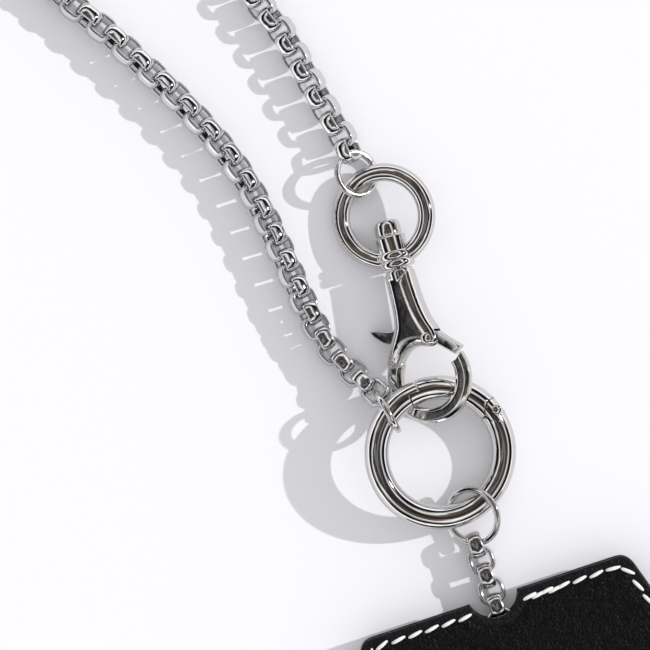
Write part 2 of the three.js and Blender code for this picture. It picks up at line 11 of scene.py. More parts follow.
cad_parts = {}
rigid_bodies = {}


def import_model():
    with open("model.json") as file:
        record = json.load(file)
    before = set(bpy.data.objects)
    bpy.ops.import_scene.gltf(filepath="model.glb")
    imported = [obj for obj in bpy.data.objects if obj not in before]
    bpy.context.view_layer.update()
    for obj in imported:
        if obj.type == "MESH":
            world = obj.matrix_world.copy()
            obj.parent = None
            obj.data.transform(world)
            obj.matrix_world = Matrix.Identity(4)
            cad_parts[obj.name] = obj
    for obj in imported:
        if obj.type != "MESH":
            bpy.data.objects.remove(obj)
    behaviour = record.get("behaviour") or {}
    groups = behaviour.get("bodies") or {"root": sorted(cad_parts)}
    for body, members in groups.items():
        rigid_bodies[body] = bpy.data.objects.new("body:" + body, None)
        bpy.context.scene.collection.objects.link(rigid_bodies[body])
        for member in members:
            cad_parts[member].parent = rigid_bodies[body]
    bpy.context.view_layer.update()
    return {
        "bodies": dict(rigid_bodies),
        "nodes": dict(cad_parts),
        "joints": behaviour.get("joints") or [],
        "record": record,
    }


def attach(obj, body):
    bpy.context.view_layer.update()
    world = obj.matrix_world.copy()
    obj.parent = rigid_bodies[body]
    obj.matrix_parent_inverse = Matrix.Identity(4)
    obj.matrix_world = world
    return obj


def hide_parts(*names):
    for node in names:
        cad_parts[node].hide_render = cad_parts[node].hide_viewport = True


bl_info = {
    "name": "Chain wallet",
    "version": (1, 0, 0),
    "blender": (4, 5, 0),
    "location": "View3D > Sidebar > Wallet",
    "description": "Builds a chain wallet: panels, stitching, box chain, gate ring and swivel clip",
    "category": "Object",
}

MM = 0.001
FRAME = {}

# Centreline of the long chain in millimetres, from the gate ring round to the clip
ROUTE = [
    (-11.5, 104.65, 7.4), (-13.2, 107.7, 6.0), (-15.9, 112.3, 4.5), (-18.7, 118, 3.95),
    (-20.5, 124.4, 3.95),
    (-21.6, 131.4, 3.95), (-22.4, 139.3, 3.95), (-23.2, 147.5, 3.95), (-24.2, 155.7, 3.95),
    (-25.6, 164.1, 3.95),
    (-27.8, 172.2, 3.95), (-31.0, 180.6, 3.95), (-35.0, 189.4, 3.95), (-38.8, 196.7, 3.95),
    (-42.5, 203.4, 3.95),
    (-46.1, 210.0, 3.95), (-49.8, 215.8, 3.95), (-53.4, 221.5, 3.95), (-57.2, 228.5, 3.95),
    (-59.5, 238, 3.95),
    (-57, 249, 3.95), (-48.5, 257.5, 3.95), (-36.5, 260.5, 3.95), (-24.5, 256.5, 3.95),
    (-16.8, 247, 3.95),
    (-13.2, 236, 3.95), (-11.5, 222, 3.95), (-9.7, 209.9, 3.95), (-7.8, 204, 3.95),
    (-5.8, 198.9, 3.95),
    (-3.9, 190.2, 3.95), (-2.2, 181.1, 3.95), (-0.6, 173.2, 3.95), (0.7, 167.5, 4.0),
    (0.9, 163.8, 4.2),
]
# Heights along Y at which the long chain folds
FOLDS = (155.8, 178.0, 200.0, 222.0, 240.0)
# Turn about its own line in radians, against the share of the chain passed
CHAIN_TWIST = {
    0.0: 0.0, 0.05: 0.12, 0.12: 0.5, 0.25: 0.62, 0.4: 0.5, 0.6: 0.1, 0.75: 0.35, 0.92: 0.5,
    1.0: 0.54,
}
END_RUNS = ("chain_left_1", "chain_right_1")
# How far an end run reaches past its mark, towards its jump ring
END_REACH = 1.1
# The run that takes one more link when the count of links would be odd
SPARE_RUN = 8
SHORT_LINKS = 6
LINK_EDGE = 0.5
LINK_DOME = 0.22
# Rivet in the rear panel: its place, and radius and top of the holes for shank and head
RIVET_PLACE = (0, 40.3, 0)
RIVET_HOLES = ((1.2, 3), (2.1, 0.7))
# Room in the rear panel for the first link
FOOT_SIZE = (5.2, 4.0, 6.4)
FOOT_PLACE = (0, 43.55, 0)
# Clip: the lever's pin, the angles its room is cut at, and the play round it
LEVER_PIVOT = (3.6, 9.6, 0)
LEVER_BORE = 1.0
LEVER_ANGLES = (0.8, -3.6, -8.2, -12.8, -17.4, -22)
SLOT_PLAY = 0.42
TIP_PLAY = 0.2
SLOT_HALF = 1.6
# The hook's section, as shares of its width and depth
OCTAGON = (
    (-0.5, -0.26), (-0.26, -0.5), (0.26, -0.5), (0.5, -0.26),
    (0.5, 0.26), (0.26, 0.5), (-0.26, 0.5), (-0.5, 0.26),
)
HOOK_WIDTH = 4.0
HOOK_DEPTH = 2.9
HOOK_ANGLES = (138, 383)
CAST_GRAIN = 0.17
STEM_BORE = 2.0
# Height at which the banded sky ends, before it is scaled to 1
SKY_REACH = 1.4


# ---------------------------------------------------------------- mesh helpers
def make_object(name, verts, faces, smooth=True):
    mesh = bpy.data.meshes.new(name)
    mesh.from_pydata([tuple(v) for v in verts], [], faces)
    mesh.validate()
    mesh.update()
    mesh.polygons.foreach_set("use_smooth", [smooth] * len(mesh.polygons))
    obj = bpy.data.objects.new(name, mesh)
    bpy.context.scene.collection.objects.link(obj)
    return obj


def discard(obj):
    data = obj.data
    bpy.data.objects.remove(obj, do_unlink=True)
    if data and not data.users:
        (bpy.data.curves if isinstance(data, bpy.types.Curve) else bpy.data.meshes).remove(data)


def applied(obj):
    """Bakes the modifiers into a plain mesh and returns the object that holds it."""
    graph = bpy.context.evaluated_depsgraph_get()
    mesh = bpy.data.meshes.new_from_object(obj.evaluated_get(graph))
    name = obj.name
    if obj.type == "MESH":
        obj.modifiers.clear()
        old = obj.data
        obj.data = mesh
        bpy.data.meshes.remove(old)
        mesh.name = name
        return obj
    discard(obj)
    plain = bpy.data.objects.new(name, mesh)
    mesh.name = name
    bpy.context.scene.collection.objects.link(plain)
    return plain


def boolean(obj, tool, operation="DIFFERENCE"):
    modifier = obj.modifiers.new("cut", "BOOLEAN")
    modifier.object = tool
    modifier.operation = operation
    modifier.solver = "EXACT"
    applied(obj)
    discard(tool)
    return obj


def bevelled(obj, width, segments=2, angle=30):
    modifier = obj.modifiers.new("edge", "BEVEL")
    modifier.width = width * MM
    modifier.segments = segments
    modifier.limit_method = "ANGLE"
    modifier.angle_limit = math.radians(angle)
    modifier.use_clamp_overlap = True
    applied(obj)
    return obj


def shade(obj, angle=40):
    mesh = obj.data
    mesh.polygons.foreach_set("use_smooth", [True] * len(mesh.polygons))
    mesh.set_sharp_from_angle(angle=math.radians(angle))
    return obj


def outward(obj):
    bm = bmesh.new()
    bm.from_mesh(obj.data)
    bmesh.ops.remove_doubles(bm, verts=bm.verts, dist=1e-7)
    bmesh.ops.recalc_face_normals(bm, faces=bm.faces)
    bm.to_mesh(obj.data)
    bm.free()
    return obj


def moved(obj, matrix):
    obj.data.transform(matrix)
    return obj


def placement(centre, pitch=0.0, roll=0.0, yaw=0.0):
    turn = (
        Matrix.Rotation(math.radians(yaw), 4, "Z")
        @ Matrix.Rotation(math.radians(pitch), 4, "X")
        @ Matrix.Rotation(math.radians(roll), 4, "Y")
    )
    return shift(centre) @ turn


def shift(place):
    """A move by so many millimetres."""
    return Matrix.Translation(Vector(place) * MM)


def tube_walls(spans, count, around):
    """Four-sided faces between so many neighbouring rings of points."""
    faces = []
    for i in range(spans):
        j = (i + 1) % count
        for k in range(around):
            m = (k + 1) % around
            faces.append((i * around + k, i * around + m, j * around + m, j * around + k))
    return faces


def swept(name, centres, sides, ups, section, closed, sizes=None):
    """A tube along centres; each section point is (along side, along up), in millimetres."""
    count = len(centres)
    sizes = sizes or [1] * count
    around = len(section)
    verts = [
        (Vector(c) + Vector(s) * a * size + Vector(u) * b * size) * MM
        for c, s, u, size in zip(centres, sides, ups, sizes)
        for a, b in section
    ]
    faces = tube_walls(count if closed else count - 1, count, around)
    if not closed:
        faces.append(tuple(range(around))[::-1])
        faces.append(tuple((count - 1) * around + k for k in range(around)))
    return outward(make_object(name, verts, faces))


def circle_section(radius, count):
    return [
        (radius * math.cos(2 * math.pi * k / count), radius * math.sin(2 * math.pi * k / count))
        for k in range(count)
    ]


def arc_tube(name, radius, section, start, end, steps):
    """A tube round the origin in the XY plane between two angles in degrees."""
    closed = abs(end - start) >= 360
    spans = steps if closed else steps - 1
    angles = [math.radians(start + (end - start) * i / spans) for i in range(steps)]
    sides = [Vector((math.cos(t), math.sin(t), 0)) for t in angles]
    centres = [s * radius for s in sides]
    ups = [Vector((0, 0, 1))] * steps
    return swept(name, centres, sides, ups, section, closed)


def box(name, size, centre):
    half = Vector(size) / 2
    corners = [(x, y, z) for x in (-1, 1) for y in (-1, 1) for z in (-1, 1)]
    verts = [
        (Vector(centre) + Vector((x * half.x, y * half.y, z * half.z))) * MM for x, y, z in corners
    ]
    faces = [(0, 1, 3, 2), (4, 6, 7, 5), (0, 4, 5, 1), (2, 3, 7, 6), (0, 2, 6, 4), (1, 5, 7, 3)]
    return outward(make_object(name, verts, faces, smooth=False))


def prism(name, points, bottom, top):
    count = len(points)
    verts = [
        Vector((x, y, bottom)) * MM for x, y in points
    ] + [Vector((x, y, top)) * MM for x, y in points]
    faces = [tuple(range(count))[::-1], tuple(range(count, 2 * count))]
    faces += [(i, (i + 1) % count, count + (i + 1) % count, count + i) for i in range(count)]
    return outward(make_object(name, verts, faces, smooth=False))


def turned(name, profile, axis="Z", steps=48):
    """A solid of revolution: profile holds (radius, height) from axis to axis."""
    verts, rings = [], []
    for radius, height in profile:
        if radius < 1e-6:
            rings.append([len(verts)])
            verts.append(Vector((0, 0, height)) * MM)
            continue
        rings.append(list(range(len(verts), len(verts) + steps)))
        for i in range(steps):
            angle = 2 * math.pi * i / steps
            verts.append(Vector((radius * math.cos(angle), radius * math.sin(angle), height)) * MM)
    faces = []
    for low, high in zip(rings, rings[1:]):
        for i in range(steps):
            j = (i + 1) % steps
            if len(low) == 1 and len(high) > 1:
                faces.append((low[0], high[i], high[j]))
            elif len(high) == 1 and len(low) > 1:
                faces.append((low[i], low[j], high[0]))
            elif len(low) > 1:
                faces.append((low[i], low[j], high[j], high[i]))
    obj = outward(make_object(name, verts, faces))
    if axis == "Y":
        moved(obj, Matrix.Rotation(math.radians(-90), 4, "X"))
    return obj


def cylinder(name, radius, low, high, axis="Z", steps=48):
    return turned(name, [(0, low), (radius, low), (radius, high), (0, high)], axis, steps)


def bezier(p0, p1, p2, p3, steps):
    points = []
    for i in range(1, steps + 1):
        t = i / steps
        weights = ((1 - t) ** 3, 3 * t * (1 - t) ** 2, 3 * t * t * (1 - t), t**3)
        points.append(
            tuple(sum(w * p[k] for w, p in zip(weights, (p0, p1, p2, p3))) for k in (0, 1))
        )
    return points


def joined(name, parts):
    bm = bmesh.new()
    for part in parts:
        bm.from_mesh(part.data)
        discard(part)
    mesh = bpy.data.meshes.new(name)
    bm.to_mesh(mesh)
    bm.free()
    obj = bpy.data.objects.new(name, mesh)
    bpy.context.scene.collection.objects.link(obj)
    return obj


def dress(obj, material, body, slot, *nodes):
    obj.data.materials.clear()
    obj.data.materials.append(material)
    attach(obj, body)
    if nodes:
        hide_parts(*nodes)


# ---------------------------------------------------------------- materials
def node(tree, kind, inputs=None, **settings):
    made = tree.nodes.new(kind)
    for key, value in settings.items():
        setattr(made, key, value)
    for key, value in (inputs or {}).items():
        made.inputs[key].default_value = value
    return made


def wire(tree, source, output, target, entry):
    tree.links.new(source.outputs[output], target.inputs[entry])


def new_material(name):
    material = bpy.data.materials.new(name)
    material.use_nodes = True
    tree = material.node_tree
    tree.nodes.clear()
    out = node(tree, "ShaderNodeOutputMaterial")
    shader = node(tree, "ShaderNodeBsdfPrincipled")
    wire(tree, shader, "BSDF", out, "Surface")
    return material, tree, shader


def steel(name, color, roughness, scratch, dimple):
    """Polished steel: fine scratches turn the highlights and slow waves break the reflections."""
    material, tree, shader = new_material(name)
    shader.inputs["Base Color"].default_value = (*color, 1)
    shader.inputs["Metallic"].default_value = 1.0
    coords = node(tree, "ShaderNodeTexCoord")
    wave = node(tree, "ShaderNodeTexNoise", {"Scale": 260.0, "Detail": 2.0})
    fine = node(tree, "ShaderNodeTexNoise", {"Scale": 2600.0, "Detail": 4.0, "Roughness": 0.7})
    stretch = node(
        tree, "ShaderNodeMapping", {"Scale": (1.0, 14.0, 3.0), "Rotation": (0.3, 0.6, 0.9)}
    )
    lines = node(tree, "ShaderNodeTexNoise", {"Scale": 900.0, "Detail": 6.0, "Roughness": 0.8})
    wire(tree, coords, "Object", wave, "Vector")
    wire(tree, coords, "Object", fine, "Vector")
    wire(tree, coords, "Object", stretch, "Vector")
    wire(tree, stretch, "Vector", lines, "Vector")
    rough = node(tree, "ShaderNodeMapRange", {
        "From Min": 0.35, "From Max": 0.75, "To Min": roughness, "To Max": roughness * 2.2,
    })
    wire(tree, lines, "Fac", rough, "Value")
    wire(tree, rough, "Result", shader, "Roughness")
    slow = node(tree, "ShaderNodeBump", {"Strength": dimple, "Distance": 0.00008})
    quick = node(tree, "ShaderNodeBump", {"Strength": scratch, "Distance": 0.00001})
    wire(tree, wave, "Fac", slow, "Height")
    wire(tree, lines, "Fac", quick, "Height")
    wire(tree, slow, "Normal", quick, "Normal")
    wire(tree, quick, "Normal", shader, "Normal")
    return material


def leather(name, color, edge_tone, grain, strength, roughness):
    """Leather with a pebble grain, pores, and an edge band coloured lighter."""
    material, tree, shader = new_material(name)
    coords = node(tree, "ShaderNodeTexCoord")
    bend = node(tree, "ShaderNodeTexNoise", {"Scale": 420.0, "Detail": 2.0})
    shift = node(tree, "ShaderNodeMixRGB", {"Fac": 0.0009}, blend_type="ADD")
    cells = node(tree, "ShaderNodeTexVoronoi", {"Scale": grain}, feature="SMOOTH_F1")
    cells.inputs["Smoothness"].default_value = 0.35
    small = node(tree, "ShaderNodeTexVoronoi", {"Scale": grain * 2.6}, feature="F1")
    pores = node(
        tree, "ShaderNodeTexNoise", {"Scale": grain * 5.0, "Detail": 3.0, "Roughness": 0.65}
    )
    wire(tree, coords, "Object", bend, "Vector")
    wire(tree, coords, "Object", shift, "Color1")
    wire(tree, bend, "Color", shift, "Color2")
    for texture in (cells, small, pores):
        wire(tree, shift, "Color", texture, "Vector")
    both = node(tree, "ShaderNodeMath", {1: 0.35}, operation="MULTIPLY_ADD")
    wire(tree, small, "Distance", both, 0)
    wire(tree, cells, "Distance", both, 2)
    height = node(tree, "ShaderNodeMath", {1: -0.25}, operation="MULTIPLY_ADD")
    wire(tree, pores, "Fac", height, 0)
    wire(tree, both, "Value", height, 2)
    bump = node(tree, "ShaderNodeBump", {"Strength": strength, "Distance": 0.00022}, invert=True)
    wire(tree, height, "Value", bump, "Height")
    wire(tree, bump, "Normal", shader, "Normal")
    # A band along the panel's edge, fading out by the seam, takes the lighter edge colour.
    edge = node(tree, "ShaderNodeAttribute", attribute_name="edge")
    tone = node(tree, "ShaderNodeMixRGB", {"Color1": (*color, 1), "Color2": (*edge_tone, 1)})
    wire(tree, edge, "Fac", tone, "Fac")
    wire(tree, tone, "Color", shader, "Base Color")
    polish = node(tree, "ShaderNodeMapRange", {
        "From Min": 0.0, "From Max": 0.6, "To Min": roughness + 0.12, "To Max": roughness - 0.06,
    })
    wire(tree, cells, "Distance", polish, "Value")
    wire(tree, polish, "Result", shader, "Roughness")
    shader.inputs["Specular IOR Level"].default_value = 0.2
    return material


def thread(name):
    material, tree, shader = new_material(name)
    shader.inputs["Base Color"].default_value = (0.86, 0.85, 0.82, 1)
    shader.inputs["Roughness"].default_value = 0.75
    shader.inputs["Sheen Weight"].default_value = 0.25
    coords = node(tree, "ShaderNodeTexCoord")
    turn = node(tree, "ShaderNodeMapping", {"Rotation": (0.0, 0.0, 0.9)})
    ply = node(tree, "ShaderNodeTexWave", {"Scale": 900.0, "Distortion": 0.6, "Detail": 1.0})
    wire(tree, coords, "Object", turn, "Vector")
    wire(tree, turn, "Vector", ply, "Vector")
    bump = node(tree, "ShaderNodeBump", {"Strength": 0.5, "Distance": 0.0001})
    wire(tree, ply, "Fac", bump, "Height")
    wire(tree, bump, "Normal", shader, "Normal")
    return material


# Colour, roughness, scratches and dimples
STEELS = {
    "ring_steel": ((0.84, 0.83, 0.82), 0.03, 0.2, 0.25),
    "clip_steel": ((0.82, 0.81, 0.80), 0.04, 0.2, 0.3),
    "chain_steel": ((0.84, 0.84, 0.85), 0.05, 0.2, 0.35),
    "wire_steel": ((0.80, 0.79, 0.78), 0.05, 0.12, 0.10),
    "rivet_steel": ((0.70, 0.70, 0.72), 0.18, 0.3, 0.1),
}
# Colour, lighter colour of the edge band, grain, depth of the grain and roughness
LEATHERS = {
    "leather": ((0.0022, 0.0022, 0.0026), (0.0065, 0.0065, 0.0078), 1500.0, 0.8, 0.32),
    "edge_leather": ((0.012, 0.011, 0.011), (0.02, 0.02, 0.022), 1600.0, 0.25, 0.36),
    "lining": ((0.018, 0.018, 0.02), (0.02, 0.02, 0.022), 1900.0, 0.3, 0.7),
}


def material(key):
    """Each material is made once and shared."""
    name = "wallet_" + key
    known = bpy.data.materials.get(name)
    if known:
        return known
    if key in STEELS:
        return steel(name, *STEELS[key])
    if key in LEATHERS:
        return leather(name, *LEATHERS[key])
    # The hole material is near black: painted shade for the dark inside of each stitch hole.
    if key == "hole":
        made, _, shader = new_material(name)
        shader.inputs["Base Color"].default_value = (0.001, 0.001, 0.001, 1)
        shader.inputs["Roughness"].default_value = 0.9
        return made
    return thread(name)


# ---------------------------------------------------------------- wallet outline
def wallet_outline(inset, settings, cut_radius=0.0, cut_y=0.0, step=0.8):
    """Points round the panel, anticlockwise, at a distance inside its edge."""
    top = settings.height / 2 - inset
    bottom = -settings.height / 2 + inset
    flare = math.tan(math.radians(settings.shoulder_angle))
    wide = settings.width / 2 - inset
    at_top = settings.top_edge / 2 - inset / math.cos(math.radians(settings.shoulder_angle))
    shoulder = settings.height / 2 - (wide - at_top) / flare

    def side(y):
        return min(wide, at_top + (settings.height / 2 - y) * flare)

    corner = max(3 - inset, 1)
    foot = max(8 - inset, 2)
    right = side(top)
    under = top - corner

    def curve(a, b, c, count=6):
        return [
            tuple((1 - t) ** 2 * a[k] + 2 * t * (1 - t) * b[k] + t * t * c[k] for k in (0, 1))
            for t in (i / count for i in range(count + 1))
        ]

    points = []
    points += curve((-right + corner, top), (-right, top), (-side(under), under))
    points.append((-wide, shoulder))
    points += curve((-wide, bottom + foot), (-wide, bottom), (-wide + foot, bottom))
    points += curve((wide - foot, bottom), (wide, bottom), (wide, bottom + foot))
    points.append((wide, shoulder))
    points += curve((side(under), under), (right, top), (right - corner, top))
    if cut_radius:
        half = math.sqrt(cut_radius**2 - (top - cut_y) ** 2)
        start = math.atan2(top - cut_y, half)
        for i in range(25):
            angle = start - i / 24 * (2 * start + math.pi)
            points.append((cut_radius * math.cos(angle), cut_y + cut_radius * math.sin(angle)))
    return divided(points, step)


def distance_to(points, outline):
    a = np.array(outline)
    b = np.roll(a, -1, axis=0)
    d = b - a
    p = np.array(points)[:, None, :]
    t = np.clip(((p - a) * d).sum(2) / (d * d).sum(1), 0, 1)
    return np.sqrt((((a + t[..., None] * d) - p) ** 2).sum(2).min(1))


def inside(points, outline):
    a = np.array(outline)
    b = np.roll(a, -1, axis=0)
    p = np.array(points)[:, None, :]
    crosses = (a[:, 1] > p[..., 1]) != (b[:, 1] > p[..., 1])
    rise = np.where(b[:, 1] == a[:, 1], 1e-9, b[:, 1] - a[:, 1])
    x = a[:, 0] + (p[..., 1] - a[:, 1]) * (b[:, 0] - a[:, 0]) / rise
    return (crosses & (p[..., 0] < x)).sum(1) % 2 == 1


def edge_normals(outline):
    """The outline as an array, with the unit vector to the left at each of its points."""
    edge = np.array(outline)
    tangent = np.roll(edge, -1, axis=0) - np.roll(edge, 1, axis=0)
    tangent /= np.linalg.norm(tangent, axis=1)[:, None]
    return edge, np.stack([-tangent[:, 1], tangent[:, 0]], axis=1)


def plate(name, outline, rings, spacing, height_of):
    """A closed plate; height_of(distances to the edge) gives its lower and upper faces."""
    edge, normal = edge_normals(outline)
    points = []
    for ring in rings:
        candidate = edge + normal * ring
        good = inside(candidate, outline) & (distance_to(candidate, outline) > ring * 0.97)
        points += [tuple(p) for p in candidate[good]]
    low, high = edge.min(0), edge.max(0)
    rows = spacing * 0.87
    grid = [
        (low[0] + spacing * i + (spacing / 2 if j % 2 else 0), low[1] + rows * j)
        for i in range(int((high[0] - low[0]) / spacing) + 1)
        for j in range(int((high[1] - low[1]) / rows) + 1)
    ]
    keep = inside(grid, outline) & (distance_to(grid, outline) > rings[-1] + spacing * 0.4)
    points += [p for p, good in zip(grid, keep) if good]
    count = len(outline)
    loop = [(i, (i + 1) % count) for i in range(count)]
    flat = [Vector(p) for p in list(map(tuple, edge)) + points]
    made = delaunay_2d_cdt(flat, loop, [list(range(count))], 1, 1e-6)
    xy = np.array([tuple(v) for v in made[0]])
    triangles = [list(face) for face in made[2]]
    near = distance_to(xy, outline)
    near[:count] = 0
    down, up = height_of(near)
    total = len(xy)
    verts = [Vector((x, y, z)) * MM for (x, y), z in zip(xy, up)]
    verts += [Vector((x, y, z)) * MM for (x, y), z in zip(xy, down)]
    faces = [tuple(t) for t in triangles] + [tuple(total + k for k in t[::-1]) for t in triangles]
    sides = {(a, b) for t in triangles for a, b in zip(t, t[1:] + t[:1])}
    faces += [(b, a, total + a, total + b) for a, b in sides if (b, a) not in sides]
    return outward(make_object(name, verts, faces))


def rounded_drop(near, rounding):
    """How far a face falls within reach of a rounded edge."""
    inner = np.clip(rounding - near, 0, None)
    return rounding - np.sqrt(np.clip(rounding**2 - inner**2, 0, None))


def pillow(name, outline, half, rounding, spacing):
    """A plate of constant thickness with both edges rounded."""
    rings = [rounding * (1 - math.cos(math.radians(15 * i))) for i in range(1, 7)]

    def height_of(near):
        drop = rounded_drop(near, rounding)
        return drop - half, half - drop

    return plate(name, outline, rings, spacing, height_of)


def leather_panel(name, outline, bottom, top, seam, rounding, groove_up):
    """A panel with rounded edges and a pressed seam line on its outer face."""
    rings = [
        0.08, 0.2, 0.4, 0.6, 0.95, seam - 0.75, seam - 0.4, seam, seam + 0.4, seam + 0.75,
        seam + 1.5
    ]

    def height_of(near):
        groove = 0.22 * np.exp(-(((near - seam) / 0.42) ** 2))
        drop = rounded_drop(near, rounding)
        return bottom + drop + (
            0 if groove_up else groove
        ), top - drop - (groove if groove_up else 0)

    obj = plate(name, outline, rings, 2.2, height_of)
    layer = obj.data.attributes.new("edge", "FLOAT", "POINT")
    places = np.array([v.co[:2] for v in obj.data.vertices]) / MM
    fade = distance_to(places, outline)
    layer.data.foreach_set("value", np.exp(-((fade / (seam * 0.9)) ** 4)).astype(np.float32))
    return obj


def grown(outline, amount):
    """The outline with each point pushed outwards."""
    edge, normal = edge_normals(outline)
    probe = inside(edge + normal * 0.05, outline)
    sense = -1 if probe.sum() * 2 > len(outline) else 1
    return [tuple(p) for p in edge + normal * sense * amount]


def divided(outline, step):
    """The same outline, anticlockwise, with points no further apart than the step."""
    area = sum(a[0] * b[1] - b[0] * a[1] for a, b in zip(outline, outline[1:] + outline[:1]))
    around = outline if area > 0 else outline[::-1]
    fine = []
    for a, b in zip(around, around[1:] + around[:1]):
        count = max(1, round(math.dist(a, b) / step))
        fine += [
            (a[0] + (b[0] - a[0]) * i / count, a[1] + (b[1] - a[1]) * i / count)
            for i in range(count)
        ]
    return fine


# ---------------------------------------------------------------- geometry node trees
def socket(tree, name, kind, default=None):
    made = tree.interface.new_socket(name=name, in_out="INPUT", socket_type=kind)
    if default is not None:
        made.default_value = default
    return made


def set_input(modifier, name, value):
    for item in modifier.node_group.interface.items_tree:
        if item.name == name and getattr(item, "in_out", "") == "INPUT":
            modifier[item.identifier] = value
            return
    raise KeyError(name)


def along_tree(name, alternate):
    """Puts a piece on every point of a curve, facing along it, and turns it about the curve."""
    known = bpy.data.node_groups.get(name)
    if known:
        return known
    tree = bpy.data.node_groups.new(name, "GeometryNodeTree")
    socket(tree, "Curve", "NodeSocketGeometry")
    socket(tree, "Piece", "NodeSocketObject")
    socket(tree, "Up", "NodeSocketVector", (0.0, 0.0, 1.0))
    socket(tree, "First Turn", "NodeSocketFloat", 0.0)
    socket(tree, "Last Turn", "NodeSocketFloat", 0.0)
    socket(tree, "First Number", "NodeSocketInt", 0)
    socket(tree, "Jitter", "NodeSocketFloat", 0.0)
    socket(tree, "Seed", "NodeSocketInt", 7)
    socket(tree, "Material", "NodeSocketMaterial")
    tree.interface.new_socket(name="Geometry", in_out="OUTPUT", socket_type="NodeSocketGeometry")
    start = node(tree, "NodeGroupInput")
    end = node(tree, "NodeGroupOutput")
    tangent = node(tree, "GeometryNodeInputTangent")
    keep = node(
        tree, "GeometryNodeStoreNamedAttribute", {"Name": "heading"}, data_type="FLOAT_VECTOR",
        domain="POINT"
    )
    points = node(tree, "GeometryNodeCurveToPoints", mode="EVALUATED")
    heading = node(
        tree, "GeometryNodeInputNamedAttribute", {"Name": "heading"}, data_type="FLOAT_VECTOR"
    )
    axes = node(tree, "FunctionNodeAxesToRotation", primary_axis="Y", secondary_axis="Z")
    wire(tree, start, "Curve", keep, "Geometry")
    wire(tree, tangent, "Tangent", keep, "Value")
    wire(tree, keep, "Geometry", points, "Curve")
    wire(tree, heading, "Attribute", axes, "Primary Axis")
    wire(tree, start, "Up", axes, "Secondary Axis")
    index = node(tree, "GeometryNodeInputIndex")
    size = node(tree, "GeometryNodeAttributeDomainSize", component="POINTCLOUD")
    wire(tree, points, "Points", size, "Geometry")
    less = node(tree, "ShaderNodeMath", {1: 1.0}, operation="SUBTRACT")
    wire(tree, size, "Point Count", less, 0)
    turn = node(tree, "ShaderNodeMapRange")
    wire(tree, index, "Index", turn, "Value")
    wire(tree, less, "Value", turn, "From Max")
    wire(tree, start, "First Turn", turn, "To Min")
    wire(tree, start, "Last Turn", turn, "To Max")
    number = node(tree, "ShaderNodeMath", operation="ADD")
    wire(tree, index, "Index", number, 0)
    wire(tree, start, "First Number", number, 1)
    odd = node(tree, "ShaderNodeMath", {1: 2.0}, operation="FLOORED_MODULO")
    wire(tree, number, "Value", odd, 0)
    quarter = node(
        tree, "ShaderNodeMath", {1: math.pi / 2 if alternate else 0.0}, operation="MULTIPLY"
    )
    wire(tree, odd, "Value", quarter, 0)
    loose = node(tree, "FunctionNodeRandomValue", data_type="FLOAT")
    low = node(tree, "ShaderNodeMath", {1: -1.0}, operation="MULTIPLY")
    wire(tree, start, "Jitter", low, 0)
    wire(tree, low, "Value", loose, 2)
    wire(tree, start, "Jitter", loose, 3)
    wire(tree, start, "Seed", loose, "Seed")
    total = node(tree, "ShaderNodeMath", operation="ADD")
    wire(tree, turn, "Result", total, 0)
    wire(tree, quarter, "Value", total, 1)
    final = node(tree, "ShaderNodeMath", operation="ADD")
    wire(tree, total, "Value", final, 0)
    wire(tree, loose, 1, final, 1)
    about = node(tree, "FunctionNodeAxisAngleToRotation", {"Axis": (0.0, 1.0, 0.0)})
    wire(tree, final, "Value", about, "Angle")
    both = node(tree, "FunctionNodeRotateRotation", rotation_space="LOCAL")
    wire(tree, axes, "Rotation", both, "Rotation")
    wire(tree, about, "Rotation", both, "Rotate By")
    piece = node(tree, "GeometryNodeObjectInfo", transform_space="ORIGINAL")
    wire(tree, start, "Piece", piece, "Object")
    copies = node(tree, "GeometryNodeInstanceOnPoints")
    wire(tree, points, "Points", copies, "Points")
    wire(tree, piece, "Geometry", copies, "Instance")
    wire(tree, both, "Rotation", copies, "Rotation")
    real = node(tree, "GeometryNodeRealizeInstances")
    wire(tree, copies, "Instances", real, "Geometry")
    paint = node(tree, "GeometryNodeSetMaterial")
    wire(tree, real, "Geometry", paint, "Geometry")
    wire(tree, start, "Material", paint, "Material")
    wire(tree, paint, "Geometry", end, "Geometry")
    return tree


def poly_curve(name, points):
    curve = bpy.data.curves.new(name, "CURVE")
    curve.dimensions = "3D"
    spline = curve.splines.new("POLY")
    spline.points.add(len(points) - 1)
    for target, point in zip(spline.points, points):
        target.co = (point[0] * MM, point[1] * MM, point[2] * MM, 1)
    obj = bpy.data.objects.new(name, curve)
    bpy.context.scene.collection.objects.link(obj)
    return obj


def copies_along(name, points, piece, tree, look, **inputs):
    obj = poly_curve(name, points)
    modifier = obj.modifiers.new("pieces", "NODES")
    modifier.node_group = tree
    set_input(modifier, "Piece", piece)
    set_input(modifier, "Material", look)
    for key, value in inputs.items():
        set_input(modifier, key.replace("_", " ").title(), value)
    plain = applied(obj)
    plain.data.polygons.foreach_set("use_smooth", [True] * len(plain.data.polygons))
    return plain


# ---------------------------------------------------------------- chain route
def route_samples(count=4000):
    """The centripetal curve through the route points, with its length so far."""
    p = [np.array(q, float) for q in ROUTE]
    p = [2 * p[0] - p[1]] + p + [2 * p[-1] - p[-2]]
    spans = len(ROUTE) - 1
    samples = []
    for i in range(count + 1):
        whole = min(i * spans / count, spans - 1e-9)
        k = int(whole)
        t = whole - k
        a, b, c, d = p[k : k + 4]
        da, db, dc = (max(np.linalg.norm(v - u) ** 0.5, 1e-4) for u, v in ((a, b), (b, c), (c, d)))
        first = ((b - a) / da - (c - a) / (da + db) + (c - b) / db) * db
        last = ((c - b) / db - (d - b) / (db + dc) + (d - c) / dc) * db
        samples.append(
            b + first * t + (
                -3 * b + 3 * c - 2 * first - last
            ) * t * t + (2 * b - 2 * c + first + last) * t**3
        )
    samples = np.array(samples)
    steps = np.linalg.norm(np.diff(samples, axis=0), axis=1)
    return samples, np.concatenate([[0], np.cumsum(steps)])


